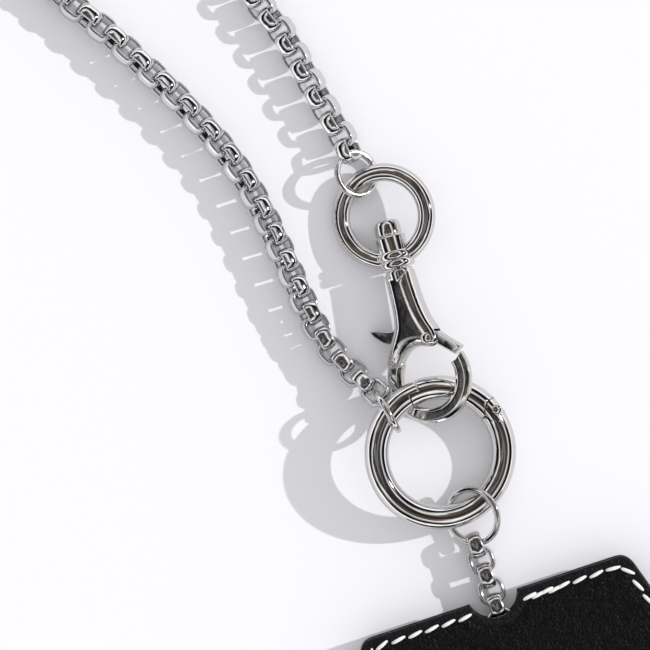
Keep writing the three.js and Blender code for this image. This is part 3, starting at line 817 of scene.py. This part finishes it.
def box_link(name, settings, length):
    """One link of the box chain, its length along Y and its axis along Z."""
    half_x = settings.link_width / 2
    half_y = length / 2
    wall = settings.link_wall
    deep = settings.link_depth / 2
    power = 2 / settings.link_squareness
    path = []
    for i in range(36):
        angle = math.radians(10 * i + 5)
        c, d = math.cos(angle), math.sin(angle)
        x = math.copysign(abs(c) ** power, c)
        y = math.copysign(abs(d) ** power, d)
        path.append((x * (half_x - wall / 2), y * (half_y - wall / 2)))
    edge = LINK_EDGE
    dome = LINK_DOME
    profile = []
    for ca, cb, start in ((1, 1, 0), (-1, 1, 90), (-1, -1, 180), (1, -1, 270)):
        for i in range(5):
            angle = math.radians(start + 22.5 * i)
            radial = ca * (wall / 2 - edge) + edge * math.cos(angle)
            profile.append(
                (radial - (dome if ca > 0 else 0), cb * (deep - edge) + edge * math.sin(angle))
            )
        if start == 90:
            profile.append((-wall / 2, 0.0))
    profile += [(wall / 2 - dome * 0.3, -deep * 0.42), (wall / 2, 0.0)]
    profile.insert(0, (wall / 2 - dome * 0.3, deep * 0.42))
    count, around = len(path), len(profile)
    verts = []
    for i, (x, y) in enumerate(path):
        ahead = Vector(path[(i + 1) % count]) - Vector(path[i - 1])
        out = Vector((ahead.y, -ahead.x)).normalized()
        verts += [Vector((x + out.x * r, y + out.y * r, z)) * MM for r, z in profile]
    return outward(make_object(name, verts, tube_walls(count, count, around)))


# ---------------------------------------------------------------- settings
class WalletSettings(bpy.types.PropertyGroup):
    height: FloatProperty(name="Height", description="Height of the wallet in mm", default=95.0)
    width: FloatProperty(name="Width", description="Greatest width in mm", default=84.0)
    top_edge: FloatProperty(
        name="Top edge", description="Width of the top edge in mm", default=70.0
    )
    shoulder_angle: FloatProperty(
        name="Shoulder angle", description="Slope of the shoulders in degrees", default=17.0
    )
    notch_half_width: FloatProperty(name="Notch half width", description="In mm", default=6.25)
    notch_depth: FloatProperty(name="Notch depth", description="In mm", default=5.0)
    panel: FloatProperty(name="Panel", description="Leather thickness in mm", default=1.6)
    front_z: FloatProperty(
        name="Front panel height", description="Its rear face in mm", default=7.0
    )
    seam: FloatProperty(name="Seam inset", description="Stitch line to edge in mm", default=2.45)


class StitchSettings(bpy.types.PropertyGroup):
    pitch: FloatProperty(name="Pitch", description="Stitch spacing in mm", default=4.4)
    length: FloatProperty(name="Length", description="Visible stitch in mm", default=3.5)
    thickness: FloatProperty(name="Thread", description="Thread thickness in mm", default=0.86)
    slant: FloatProperty(name="Slant", description="Angle to the seam in degrees", default=11.0)


class ChainSettings(bpy.types.PropertyGroup):
    pitch: FloatProperty(name="Pitch", description="Link spacing in mm", default=4.0)
    link_width: FloatProperty(name="Link width", description="In mm", default=7.0)
    link_wall: FloatProperty(name="Wall", description="Link wall in mm", default=1.3)
    link_depth: FloatProperty(name="Depth", description="Along the link's axis in mm", default=3.6)
    link_squareness: FloatProperty(
        name="Squareness", description="2 is round, more is squarer", default=3.1
    )
    gap: FloatProperty(name="Play", description="Between linked bars in mm", default=0.3)
    height: FloatProperty(
        name="Height", description="Short chain's centre above the table", default=3.75
    )
    first_y: FloatProperty(name="First link", description="Its place along Y in mm", default=41.15)
    jitter: FloatProperty(
        name="Jitter", description="Random turn of each link in degrees", default=2.0
    )


class RingSettings(bpy.types.PropertyGroup):
    centre: FloatVectorProperty(name="Centre", description="In mm", default=(-1.2, 85.9, 7.0))
    slope_x: FloatProperty(name="Slope along X", description="Rise per mm", default=-0.17)
    slope_y: FloatProperty(name="Slope along Y", description="Rise per mm", default=0.09)
    radius: FloatProperty(name="Radius", description="Of the centreline in mm", default=16.2)
    tube: FloatProperty(name="Tube", description="Tube radius in mm", default=3.0)
    pin_radius: FloatProperty(name="Pin radius", description="Pin to centre in mm", default=17.4)
    pin_angle: FloatProperty(name="Pin angle", description="In degrees", default=20.0)
    end_angle: FloatProperty(name="Gate end", description="Angle of the gate's end", default=92.5)


class ClipSettings(bpy.types.PropertyGroup):
    centre: FloatVectorProperty(name="Hook centre", description="In mm", default=(2.15, 104.3, 7.9))
    yaw: FloatProperty(name="Yaw", description="In degrees", default=-2.6)
    roll: FloatProperty(name="Roll", description="In degrees", default=-27.0)
    pitch: FloatProperty(name="Pitch", description="In degrees", default=-3.7)
    hook_radius: FloatProperty(name="Hook radius", description="In mm", default=9.4)
    eye_distance: FloatProperty(name="Eye distance", description="Hook centre to eye", default=42.0)
    eye_radius: FloatProperty(name="Eye radius", description="In mm", default=11.0)
    eye_tube: FloatProperty(name="Eye tube", description="Tube radius in mm", default=2.2)
    eye_roll: FloatProperty(name="Eye roll", description="In degrees", default=-15.0)
    neck_top: FloatProperty(name="Neck top", description="In mm", default=28.3)


class StageSettings(bpy.types.PropertyGroup):
    view_centre: FloatVectorProperty(
        name="View centre", description="In mm", default=(-18.4, 125.1, 0.0)
    )
    view_width: FloatProperty(name="View width", description="In mm", default=162.5)
    view_roll: FloatProperty(name="View roll", description="In degrees", default=-18.42)
    camera_height: FloatProperty(name="Camera height", description="In mm", default=1500.0)
    sun_height: FloatProperty(name="Sun height", description="In degrees", default=29.0)
    sun_strength: FloatProperty(name="Sun strength", description="In W per m2", default=2.35)
    fill: FloatProperty(name="Fill", description="Light from all round", default=0.8)


# ---------------------------------------------------------------- operators
class WALLET_OT_panels(bpy.types.Operator):
    """Builds the two leather panels and dresses the layers between them"""

    bl_idname = "wallet.panels"
    bl_label = "Panels"

    def execute(self, context):
        s = context.scene.wallet_panels
        radius = (s.notch_half_width**2 + s.notch_depth**2) / (2 * s.notch_depth)
        notch_y = s.height / 2 - s.notch_depth + radius
        outline = wallet_outline(0, s, radius, notch_y)
        leather_look = material("leather")
        front = leather_panel(
            "front_leather", outline, s.front_z, s.front_z + s.panel, s.seam, 0.6, True
        )
        dress(front, leather_look, "wallet", "leather", "front_panel")
        rear = leather_panel("rear_leather", outline, 0.0, s.panel, s.seam, 0.6, False)
        boolean(rear, box("foot", FOOT_SIZE, FOOT_PLACE))
        for radius, deep in RIVET_HOLES:
            boolean(rear, moved(cylinder("hole", radius, -1, deep), shift(RIVET_PLACE)))
        dress(shade(rear, 50), leather_look, "wallet", "leather", "rear_panel")
        looks = {
            "rear_lining": "lining", "front_lining": "lining", "card_divider": "lining",
            "rear_welt": "edge_leather", "front_welt": "edge_leather",
            "anchor_rivet": "rivet_steel", "anchor_washer": "rivet_steel",
        }
        for name, look in looks.items():
            cad = FRAME["nodes"][name]
            cad.material_slots[0].link = "OBJECT"
            cad.material_slots[0].material = material(look)
        return {"FINISHED"}


class WALLET_OT_stitching(bpy.types.Operator):
    """Runs slanted saddle stitches round both panels"""

    bl_idname = "wallet.stitching"
    bl_label = "Stitching"

    def seam_points(self, s, pitch):
        """Stitch centres from one side of the notch round to the other."""
        line = wallet_outline(s.seam, s, step=0.25)
        top = s.height / 2 - s.seam
        start = min(range(len(line)), key=lambda i: (abs(line[i][1] - top) > 1e-3, abs(line[i][0])))
        loop = np.array(line[start:] + line[:start] + [line[start]])
        length = np.concatenate([[0], np.cumsum(np.linalg.norm(np.diff(loop, axis=0), axis=1))])
        spare = s.notch_half_width + 2.2
        first, last = spare, length[-1] - spare
        count = round((last - first) / pitch)
        at = [first + (last - first) * i / count for i in range(count + 1)]
        return [(np.interp(t, length, loop[:, 0]), np.interp(t, length, loop[:, 1])) for t in at]

    def execute(self, context):
        s = context.scene.wallet_panels
        t = context.scene.wallet_stitches
        radius = t.thickness / 2
        half = t.length / 2
        spine = [(-half - 0.1, -0.34), (-half * 0.86, 0.02), (-half * 0.5, 0.15), (0, 0.2),
                 (half * 0.5, 0.15), (half * 0.86, 0.02), (half + 0.1, -0.34)]
        sizes = [0.55, 0.75, 1.0, 1.1, 1.05, 0.85, 0.6]
        lean = -math.radians(t.slant)
        centres = [Vector((x * math.sin(lean), x * math.cos(lean), z)) for x, z in spine]
        along = [
            (b - a).normalized() for a, b in zip([centres[0]] + centres, centres + [centres[-1]])
        ]
        along = [(along[i] + along[i + 1]).normalized() for i in range(len(centres))]
        side = Vector((math.cos(lean), -math.sin(lean), 0))
        ups = [side.cross(d).normalized() for d in along]
        stitch = swept(
            "stitch_master", centres, [side] * len(centres), ups, circle_section(radius, 10), False,
            sizes
        )
        hole_shade = turned(
            "hole_master", [(0, 0.0), (0.34, 0.0), (0.42, 0.03), (0.34, 0.06), (0, 0.06)], steps=12
        )
        tree = along_tree("stitches_along_seam", False)
        for label, z, up in (("front", s.front_z + s.panel, 1.0), ("rear", 0.0, -1.0)):
            points = self.seam_points(s, t.pitch)
            level = z - 0.05 if up > 0 else z + 0.42
            row = copies_along(
                label + "_stitches", [(x, y, level) for x, y in points], stitch, tree,
                material("thread"),
                up=(0.0, 0.0, up), jitter=0.03,
            )
            dress(row, material("thread"), "wallet", "leather")
            back = [
                ((a[0] + b[0]) / 2, (a[1] + b[1]) / 2 - 0.3, level) for a,
                b in zip(points[-3:], points[-2:])
            ]
            lock = copies_along(
                label + "_back_stitches", back, stitch, tree, material("thread"),
                up=(0.0, 0.0, up), jitter=0.05, seed=4,
            )
            dress(lock, material("thread"), "wallet", "leather")
            # Near-black discs between the stitches, sunk into the seam groove: painted shade
            # standing in for the stitch holes.
            ends = []
            for a, b in zip(points, points[1:]):
                ends.append(((a[0] + b[0]) / 2, (a[1] + b[1]) / 2, z - 0.2 if up > 0 else z + 0.14))
            hole_shades = copies_along(
                label + "_holes", ends, hole_shade, tree, material("hole"), up=(0.0, 0.0, 1.0)
            )
            dress(hole_shades, material("hole"), "wallet", "leather")
        discard(stitch)
        discard(hole_shade)
        return {"FINISHED"}


class WALLET_OT_short_chain(bpy.types.Operator):
    """Makes the single links between the wallet and the gate ring"""

    bl_idname = "wallet.short_chain"
    bl_label = "Short chain"

    def execute(self, context):
        c = context.scene.wallet_chain
        length = c.pitch + c.gap + 2 * c.link_wall
        for i in range(SHORT_LINKS):
            link = box_link(f"short_chain_{i + 1}", c, length)
            turn = Matrix.Rotation(math.radians(90 if i % 2 else 0), 4, "Y")
            spot = shift((0, c.first_y + c.pitch * i, c.height))
            moved(link, spot @ turn)
            dress(
                link, material("chain_steel"), f"link_{i + 1}", "chain_steel", f"short_link_{i + 1}"
            )
        return {"FINISHED"}


class WALLET_OT_long_chain(bpy.types.Operator):
    """Lays box links along the route, one mesh for each joined run"""

    bl_idname = "wallet.long_chain"
    bl_label = "Long chain"

    def execute(self, context):
        c = context.scene.wallet_chain
        samples, length = route_samples()
        total = length[-1]

        def mark(y, left):
            order = range(len(samples)) if left else range(len(samples) - 1, -1, -1)
            return next(length[i] for i in order if samples[i][1] >= y)

        left = [mark(y, True) for y in FOLDS]
        right = [mark(y, False) for y in FOLDS]
        spans = []
        for i in range(3):
            spans.append(
                (f"chain_left_{i + 1}", "chain_beside_clip", left[0] * i / 3, left[0] * (i + 1) / 3)
            )
        for i in range(1, 5):
            spans.append((f"chain_left_{3 + i}", f"loop_{i}", left[i - 1], left[i]))
        for i in range(3):
            step = (right[4] - left[4]) / 3
            spans.append(
                (f"chain_bend_{i + 1}", "loop_5", left[4] + step * i, left[4] + step * (i + 1))
            )
        for i in range(4, 0, -1):
            spans.append(
                (f"chain_right_{i}", f"loop_{i}", right[i], right[i - 1] if i > 1 else total)
            )
        counts = []
        for name, _, start, end in spans:
            reach = end - start + (END_REACH if name in END_RUNS else 0)
            counts.append(max(1, round(reach / c.pitch)))
        if sum(counts) % 2:
            counts[SPARE_RUN] += 1
        look = material("chain_steel")
        tree = along_tree("links_along_route", True)
        number = 0

        def turn_at(s):
            return float(np.interp(s / total, list(CHAIN_TWIST), list(CHAIN_TWIST.values())))

        for (name, body, start, end), count in zip(spans, counts):
            step = (end - start + (END_REACH if name in END_RUNS else 0)) / count
            first = start - (END_REACH if name == END_RUNS[0] else 0)
            at = [first + step * (j + 0.5) for j in range(count)]
            points = [[np.interp(s, length, samples[:, k]) for k in range(3)] for s in at]
            link = box_link("link_master", c, step + c.gap + 2 * c.link_wall)
            run = copies_along(
                name + "_links", points, link, tree, look,
                first_turn=turn_at(at[0]), last_turn=turn_at(at[-1]), first_number=number,
                jitter=math.radians(c.jitter), seed=number + 3,
            )
            discard(link)
            number += count
            dress(run, look, body, "chain_steel", name)
        return {"FINISHED"}


class WALLET_OT_jump_rings(bpy.types.Operator):
    """Bends the three wire rings that join ring, chain and clip"""

    bl_idname = "wallet.jump_rings"
    bl_label = "Jump rings"

    def execute(self, context):
        rings = (
            (
                "jump_ring_short_chain", "ring_joiner", (1.5, 68.25, 5.15), 6.9, 0.82, 11, -30, -13,
                200
            ),
            (
                "jump_ring_long_chain", "chain_beside_clip", (-10.5, 99.8, 9.2), 5.3, 0.8, 0, 90,
                12, 60
            ),
            ("jump_ring_swivel", "loop_1", (0.9, 158.4, 4.3), 5.45, 0.8, 0, 31, 0, 20),
        )
        for name, body, centre, radius, wire, pitch, roll, yaw, seam in rings:
            ring = arc_tube(
                name + "_wire", radius, circle_section(wire, 24), seam, seam + 359.2, 110
            )
            bevelled(ring, 0.08, 2, 60)
            moved(shade(ring, 50), placement(centre, pitch, roll, yaw))
            dress(ring, material("wire_steel"), body, "chain_steel", name)
        return {"FINISHED"}


class WALLET_OT_gate_ring(bpy.types.Operator):
    """Makes the big ring with its fork, hinged gate and pin"""

    bl_idname = "wallet.gate_ring"
    bl_label = "Gate ring"

    def tube(self, s, name, start, end):
        steps = max(8, round(abs(end - start) / 2.4))
        return arc_tube(name, s.radius, circle_section(s.tube, 40), start, end, steps)

    def seam_cut(self, s, points):
        """A prism over points given as (along the ring, outwards) from the gate's end."""
        angle = math.radians(s.end_angle)
        out = (math.cos(angle), math.sin(angle))
        flat = [
            (out[0] * (s.radius + r) - out[1] * u, out[1] * (s.radius + r) + out[0] * u) for u,
            r in points
        ]
        return prism("seam", flat, -8, 8)

    def execute(self, context):
        s = context.scene.wallet_ring
        normal = Vector((-s.slope_x, -s.slope_y, 1)).normalized()
        x = Vector((1, 0, s.slope_x)).normalized()
        y = normal.cross(x)
        place = shift(s.centre) @ Matrix((x, y, normal)).transposed().to_4x4()
        pin_angle = math.radians(s.pin_angle)
        pin = Vector((s.pin_radius * math.cos(pin_angle), s.pin_radius * math.sin(pin_angle), 0))
        at_pin = shift(pin)

        def drum(radius, half):
            return moved(cylinder("drum", radius, -half, half, steps=64), at_pin)

        body = self.tube(s, "gate_ring_steel", s.end_angle - 22, s.pin_angle + 360)
        boolean(
            body,
            self.seam_cut(s, [(0.9, 5), (0.5, 0.7), (3.1, 0.5), (2.7, -5), (-12, -5), (-12, 5)])
        )
        knuckle = self.tube(s, "knuckle", s.pin_angle - 14, s.pin_angle + 14)
        boolean(knuckle, drum(2.9, 5), "INTERSECT")
        boolean(body, knuckle, "UNION")
        boolean(body, drum(3.5, 1.05))
        boolean(body, drum(0.9, 6))
        bevelled(body, 0.12, 2, 35)
        moved(shade(body, 35), place)
        dress(body, material("ring_steel"), "gate_ring", "ring_steel", "gate_ring_body")

        gate = self.tube(s, "gate_steel", s.pin_angle + 2.5, s.end_angle + 22)
        boolean(
            gate,
            self.seam_cut(s, [(-0.3, 5), (0.2, 0.4), (2.8, 0.2), (2.4, -5), (12, -5), (12, 5)])
        )
        boolean(gate, drum(3.2, 5))
        tongue = self.tube(s, "tongue", s.pin_angle - 14, s.pin_angle + 16)
        slab = moved(box("slab", (16, 16, 1.7), (0, 0, 0)), at_pin)
        boolean(tongue, slab, "INTERSECT")
        keep = drum(2.8, 3)
        wedge = self.tube(s, "wedge", s.pin_angle + 2, s.pin_angle + 16)
        boolean(keep, wedge, "UNION")
        boolean(tongue, keep, "INTERSECT")
        boolean(gate, tongue, "UNION")
        boolean(gate, drum(0.9, 6))
        bevelled(gate, 0.12, 2, 35)
        moved(shade(gate, 35), place)
        dress(gate, material("ring_steel"), "gate", "ring_steel", "ring_gate")

        face = math.sqrt(s.tube**2 - (s.pin_radius - s.radius) ** 2)
        dome = [
            (0, face + 0.62), (0.6, face + 0.56), (1.1, face + 0.36), (1.4, face + 0.12),
            (1.45, face + 0.02)
        ]
        profile = dome + [(1.35, face - 0.3), (0.75, face - 0.35)]
        mirrored = [(r, -z) for r, z in reversed(profile)]
        rivet = moved(turned("gate_pin_steel", profile + mirrored, steps=40), place @ at_pin)
        dress(shade(rivet, 50), material("ring_steel"), "gate_ring", "ring_steel", "gate_pin")
        return {"FINISHED"}


class WALLET_OT_clip(bpy.types.Operator):
    """Makes the cast clip with hook, lever, pin, stem and swivel eye"""

    bl_idname = "wallet.clip"
    bl_label = "Clip"

    def lever_outline(self):
        points = [(-12.3, 15.6)]
        points += bezier((-12.3, 15.6), (-10.2, 15.4), (-8.6, 14.4), (-6.6, 14.0), 8)
        points += [
            (-2.0, 14.2), (3.9, 12.0), (6.2, 10.4), (11.2, 5.3), (8.9, 3.9), (4.6, 7.9),
            (-2.6, 9.6), (-7.2, 10.6)
        ]
        points += bezier((-7.2, 10.6), (-9.3, 11.2), (-11.2, 13.0), (-12.3, 15.6), 8)[:-1]
        return points

    def body_outline(self):
        points = [(-9.9, 5.4)]
        corners = (
            ((-9.2, 8.6), (-6.3, 12.0), (-5.0, 14.4)),
            ((-4.1, 17.0), (-3.9, 21.0), (-3.7, 27.6)),
            ((3.5, 27.6),),
            ((3.6, 21.0), (3.8, 17.0), (5.0, 13.6)),
            ((5.8, 11.6), (6.2, 10.4), (5.9, 8.6)),
            ((5.4, 7.2), (3.4, 7.0), (1.4, 7.9)),
            ((-1.8, 9.1), (-4.4, 7.6), (-6.4, 4.8)),
        )
        for piece in corners:
            points += bezier(points[-1], *piece, 10) if len(piece) == 3 else piece
        return points

    def pin_hole(self):
        return moved(cylinder("hole", LEVER_BORE, -9, 9), shift(LEVER_PIVOT))

    def execute(self, context):
        s = context.scene.wallet_clip
        place = placement(s.centre, s.pitch, s.roll, s.yaw)
        look = material("clip_steel")
        section = [(a * HOOK_WIDTH, b * HOOK_DEPTH) for a, b in OCTAGON]
        hook = arc_tube("hook", s.hook_radius, section, *HOOK_ANGLES, 90)
        body_plate = pillow("plate", divided(self.body_outline(), 0.5), 3.4, 2.7, 1.0)
        lever_shape = divided(self.lever_outline(), 0.6)
        for angle in LEVER_ANGLES:
            turn = shift(LEVER_PIVOT) @ Matrix.Rotation(math.radians(angle), 4, "Z")
            turn = turn @ shift(-Vector(LEVER_PIVOT))
            for solid, play in ((body_plate, SLOT_PLAY), (hook, TIP_PLAY)):
                room = prism("room", grown(lever_shape, play), -SLOT_HALF, SLOT_HALF)
                boolean(solid, moved(room, turn))
        neck = turned("neck", [(0, 18), (3.2, 21), (3.5, s.neck_top - 0.6), (3.3, s.neck_top - 0.1),
                               (0, s.neck_top)], axis="Y", steps=64)
        body = joined("clip_steel_body", [hook, body_plate, neck])
        remesh = body.modifiers.new("cast", "REMESH")
        remesh.mode = "VOXEL"
        remesh.voxel_size = CAST_GRAIN * MM
        smooth = body.modifiers.new("polish", "SMOOTH")
        smooth.iterations = 4
        applied(body)
        boolean(body, self.pin_hole())
        moved(shade(body, 40), place)
        dress(body, look, "clip", "clip_steel", "clip_body")

        lever = pillow("trigger_steel", lever_shape, 1.3, 0.5, 1.0)
        boolean(lever, self.pin_hole())
        moved(shade(lever, 40), place)
        dress(lever, look, "trigger", "clip_steel", "trigger_lever")

        pin = [(0, 3.95), (0.8, 3.88), (1.3, 3.65), (1.45, 3.45), (1.4, 3.35), (0.9, 3.3)]
        profile = pin + [(r, -z) for r, z in reversed(pin)]
        rivet = moved(turned("lever_pin_steel", profile, steps=32), place @ shift(LEVER_PIVOT))
        dress(shade(rivet, 50), look, "clip", "clip_steel", "lever_pin")

        bottom = s.neck_top + 0.3
        top = bottom + 4.2
        barrel = top + 4.0
        head = barrel + 0.25
        stem = turned("stem_steel", [
            (0, s.neck_top - 2.9), (1.8, s.neck_top - 2.9), (1.8, head), (3.05, head),
            (3.25, head + 0.2),
            (3.3, head + 1.0), (3.2, head + 2.6), (2.9, head + 3.3), (2.2, head + 3.7),
            (0, head + 3.8),
        ], axis="Y", steps=64)
        moved(shade(stem, 35), place)
        dress(stem, look, "clip", "clip_steel", "swivel_stem")

        roll = Matrix.Rotation(math.radians(s.eye_roll - s.roll), 4, "Y")
        centre = shift((0, s.eye_distance, 0))
        eye = arc_tube("eye_steel", s.eye_radius, circle_section(s.eye_tube, 40), 0, 360, 150)
        low, mid = bottom - s.eye_distance, (bottom + top) / 2 - s.eye_distance
        high, end = top - s.eye_distance, barrel - s.eye_distance
        beads = []
        for base, crest in ((low, mid), (mid, high)):
            middle = (base + crest) / 2
            half = (crest - base) / 2
            for i in range(9):
                angle = math.pi * (i / 8)
                beads.append((4.0 + 0.5 * math.sin(angle), middle - half * math.cos(angle)))
        rim = [(3.75, high), (3.75, end - 0.4), (3.35, end), (0, end)]
        collar = turned("collar", [(0, low)] + beads + rim, axis="Y", steps=72)
        boolean(eye, collar, "UNION")
        boolean(eye, cylinder("bore", STEM_BORE, low - 2, end + 2, axis="Y"))
        bevelled(eye, 0.15, 2, 30)
        moved(shade(eye, 35), place @ centre @ roll)
        dress(eye, look, "eye", "clip_steel", "swivel_eye")
        return {"FINISHED"}


class WALLET_OT_stage(bpy.types.Operator):
    """Sets the table, the low sun, the soft surround and the camera"""

    bl_idname = "wallet.stage"
    bl_label = "Stage"

    def surround(self, scene, fill):
        """Even light for the table; polished steel sees a dark ceiling and a bright horizon."""
        world = bpy.data.worlds.new("surround")
        scene.world = world
        world.use_nodes = True
        tree = world.node_tree
        tree.nodes.clear()
        out = node(tree, "ShaderNodeOutputWorld")
        plain = node(
            tree, "ShaderNodeBackground", {"Color": (0.985, 0.98, 1.0, 1), "Strength": fill}
        )
        seen = node(tree, "ShaderNodeBackground", {"Strength": 1.0})
        coords = node(tree, "ShaderNodeTexCoord")
        split = node(tree, "ShaderNodeSeparateXYZ")
        warp = node(tree, "ShaderNodeTexNoise", {"Scale": 1.7, "Detail": 2.5, "Distortion": 0.8})
        wire(tree, coords, "Generated", split, "Vector")
        wire(tree, coords, "Generated", warp, "Vector")
        bend = node(tree, "ShaderNodeMath", {1: 0.5}, operation="MULTIPLY_ADD")
        wire(tree, warp, "Fac", bend, 0)
        wire(tree, split, "Z", bend, 2)
        ramp = node(tree, "ShaderNodeValToRGB")
        white, pale, grey = (1.15, 1.15, 1.18), (0.62, 0.61, 0.62), (0.24, 0.23, 0.23)
        brown, black = (0.17, 0.135, 0.11), (0.008, 0.008, 0.01)
        stops = [
            (0.0, pale), (0.18, white), (0.48, white), (0.54, black), (0.78, black), (0.84, grey),
            (0.95, pale),
            (1.02, white), (1.07, brown), (1.18, black), (1.26, grey), (1.34, pale), (1.4, brown),
        ]
        stops = [(place / SKY_REACH, color) for place, color in stops]
        scale = node(tree, "ShaderNodeMath", {1: 1 / SKY_REACH}, operation="MULTIPLY")
        wire(tree, bend, "Value", scale, 0)
        for element, (position, color) in zip(ramp.color_ramp.elements, (stops[0], stops[-1])):
            element.position = position
            element.color = (*color, 1)
        for position, color in stops[1:-1]:
            ramp.color_ramp.elements.new(position).color = (*color, 1)
        wire(tree, scale, "Value", ramp, "Fac")
        wire(tree, ramp, "Color", seen, "Color")
        path = node(tree, "ShaderNodeLightPath")
        mix = node(tree, "ShaderNodeMixShader")
        wire(tree, path, "Is Glossy Ray", mix, "Fac")
        wire(tree, plain, "Background", mix, 1)
        wire(tree, seen, "Background", mix, 2)
        wire(tree, mix, "Shader", out, "Surface")

    def execute(self, context):
        s = context.scene.wallet_stage
        scene = context.scene
        table = box("table", (3000, 3000, 4), (0, 100, -2.0))
        made, tree, shader = new_material("wallet_table")
        shader.inputs["Base Color"].default_value = (0.86, 0.855, 0.88, 1)
        shader.inputs["Roughness"].default_value = 0.85
        shader.inputs["Specular IOR Level"].default_value = 0.1
        # Glossy rays see the table painted a darker grey: painted shade in the steel's reflections
        # of the floor, in place of the shade round each part.
        path = node(tree, "ShaderNodeLightPath")
        reflected_floor_shade = node(
            tree, "ShaderNodeMixRGB",
            {"Color1": (0.86, 0.855, 0.88, 1), "Color2": (0.66, 0.65, 0.66, 1)}
        )
        wire(tree, path, "Is Glossy Ray", reflected_floor_shade, "Fac")
        wire(tree, reflected_floor_shade, "Color", shader, "Base Color")
        table.data.materials.append(made)
        self.surround(scene, s.fill)
        sun_data = bpy.data.lights.new("sun", "SUN")
        sun_data.energy = s.sun_strength
        sun_data.angle = math.radians(0.9)
        sun = bpy.data.objects.new("sun", sun_data)
        height = math.radians(s.sun_height)
        towards = Vector((-math.cos(height), 0.03, -math.sin(height)))
        sun.rotation_euler = towards.to_track_quat("-Z", "Y").to_euler()
        scene.collection.objects.link(sun)
        camera_data = bpy.data.cameras.new("camera")
        camera_data.sensor_width = 36
        camera_data.lens = 36 * s.camera_height / s.view_width
        camera_data.clip_end = 10
        camera = bpy.data.objects.new("camera", camera_data)
        camera.location = Vector((s.view_centre[0], s.view_centre[1], s.camera_height)) * MM
        camera.rotation_euler = (0, 0, math.radians(s.view_roll))
        scene.collection.objects.link(camera)
        scene.camera = camera
        scene.view_settings.view_transform = "Standard"
        return {"FINISHED"}


class WALLET_PT_panel(bpy.types.Panel):
    """Buttons and sizes for the chain wallet"""

    bl_idname = "WALLET_PT_panel"
    bl_label = "Chain wallet"
    bl_space_type = "VIEW_3D"
    bl_region_type = "UI"
    bl_category = "Wallet"

    def draw(self, context):
        for operator in OPERATORS:
            self.layout.operator(operator.bl_idname)
        for name in SETTINGS:
            group = getattr(context.scene, name)
            column = self.layout.column(align=True)
            for key in group.__annotations__:
                column.prop(group, key)


SETTINGS = {
    "wallet_panels": WalletSettings,
    "wallet_stitches": StitchSettings,
    "wallet_chain": ChainSettings,
    "wallet_ring": RingSettings,
    "wallet_clip": ClipSettings,
    "wallet_stage": StageSettings,
}
OPERATORS = (
    WALLET_OT_panels,
    WALLET_OT_stitching,
    WALLET_OT_short_chain,
    WALLET_OT_long_chain,
    WALLET_OT_jump_rings,
    WALLET_OT_gate_ring,
    WALLET_OT_clip,
    WALLET_OT_stage,
)


def register():
    for group in SETTINGS.values():
        bpy.utils.register_class(group)
    for operator in OPERATORS:
        bpy.utils.register_class(operator)
    bpy.utils.register_class(WALLET_PT_panel)
    for name, group in SETTINGS.items():
        setattr(bpy.types.Scene, name, PointerProperty(type=group))


def unregister():
    for name in SETTINGS:
        delattr(bpy.types.Scene, name)
    bpy.utils.unregister_class(WALLET_PT_panel)
    for operator in reversed(OPERATORS):
        bpy.utils.unregister_class(operator)
    for group in reversed(list(SETTINGS.values())):
        bpy.utils.unregister_class(group)


def main():
    FRAME.update(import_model())
    register()
    for operator in OPERATORS:
        getattr(bpy.ops.wallet, operator.bl_idname.split(".")[1])()


if __name__ == "__main__":
    main()
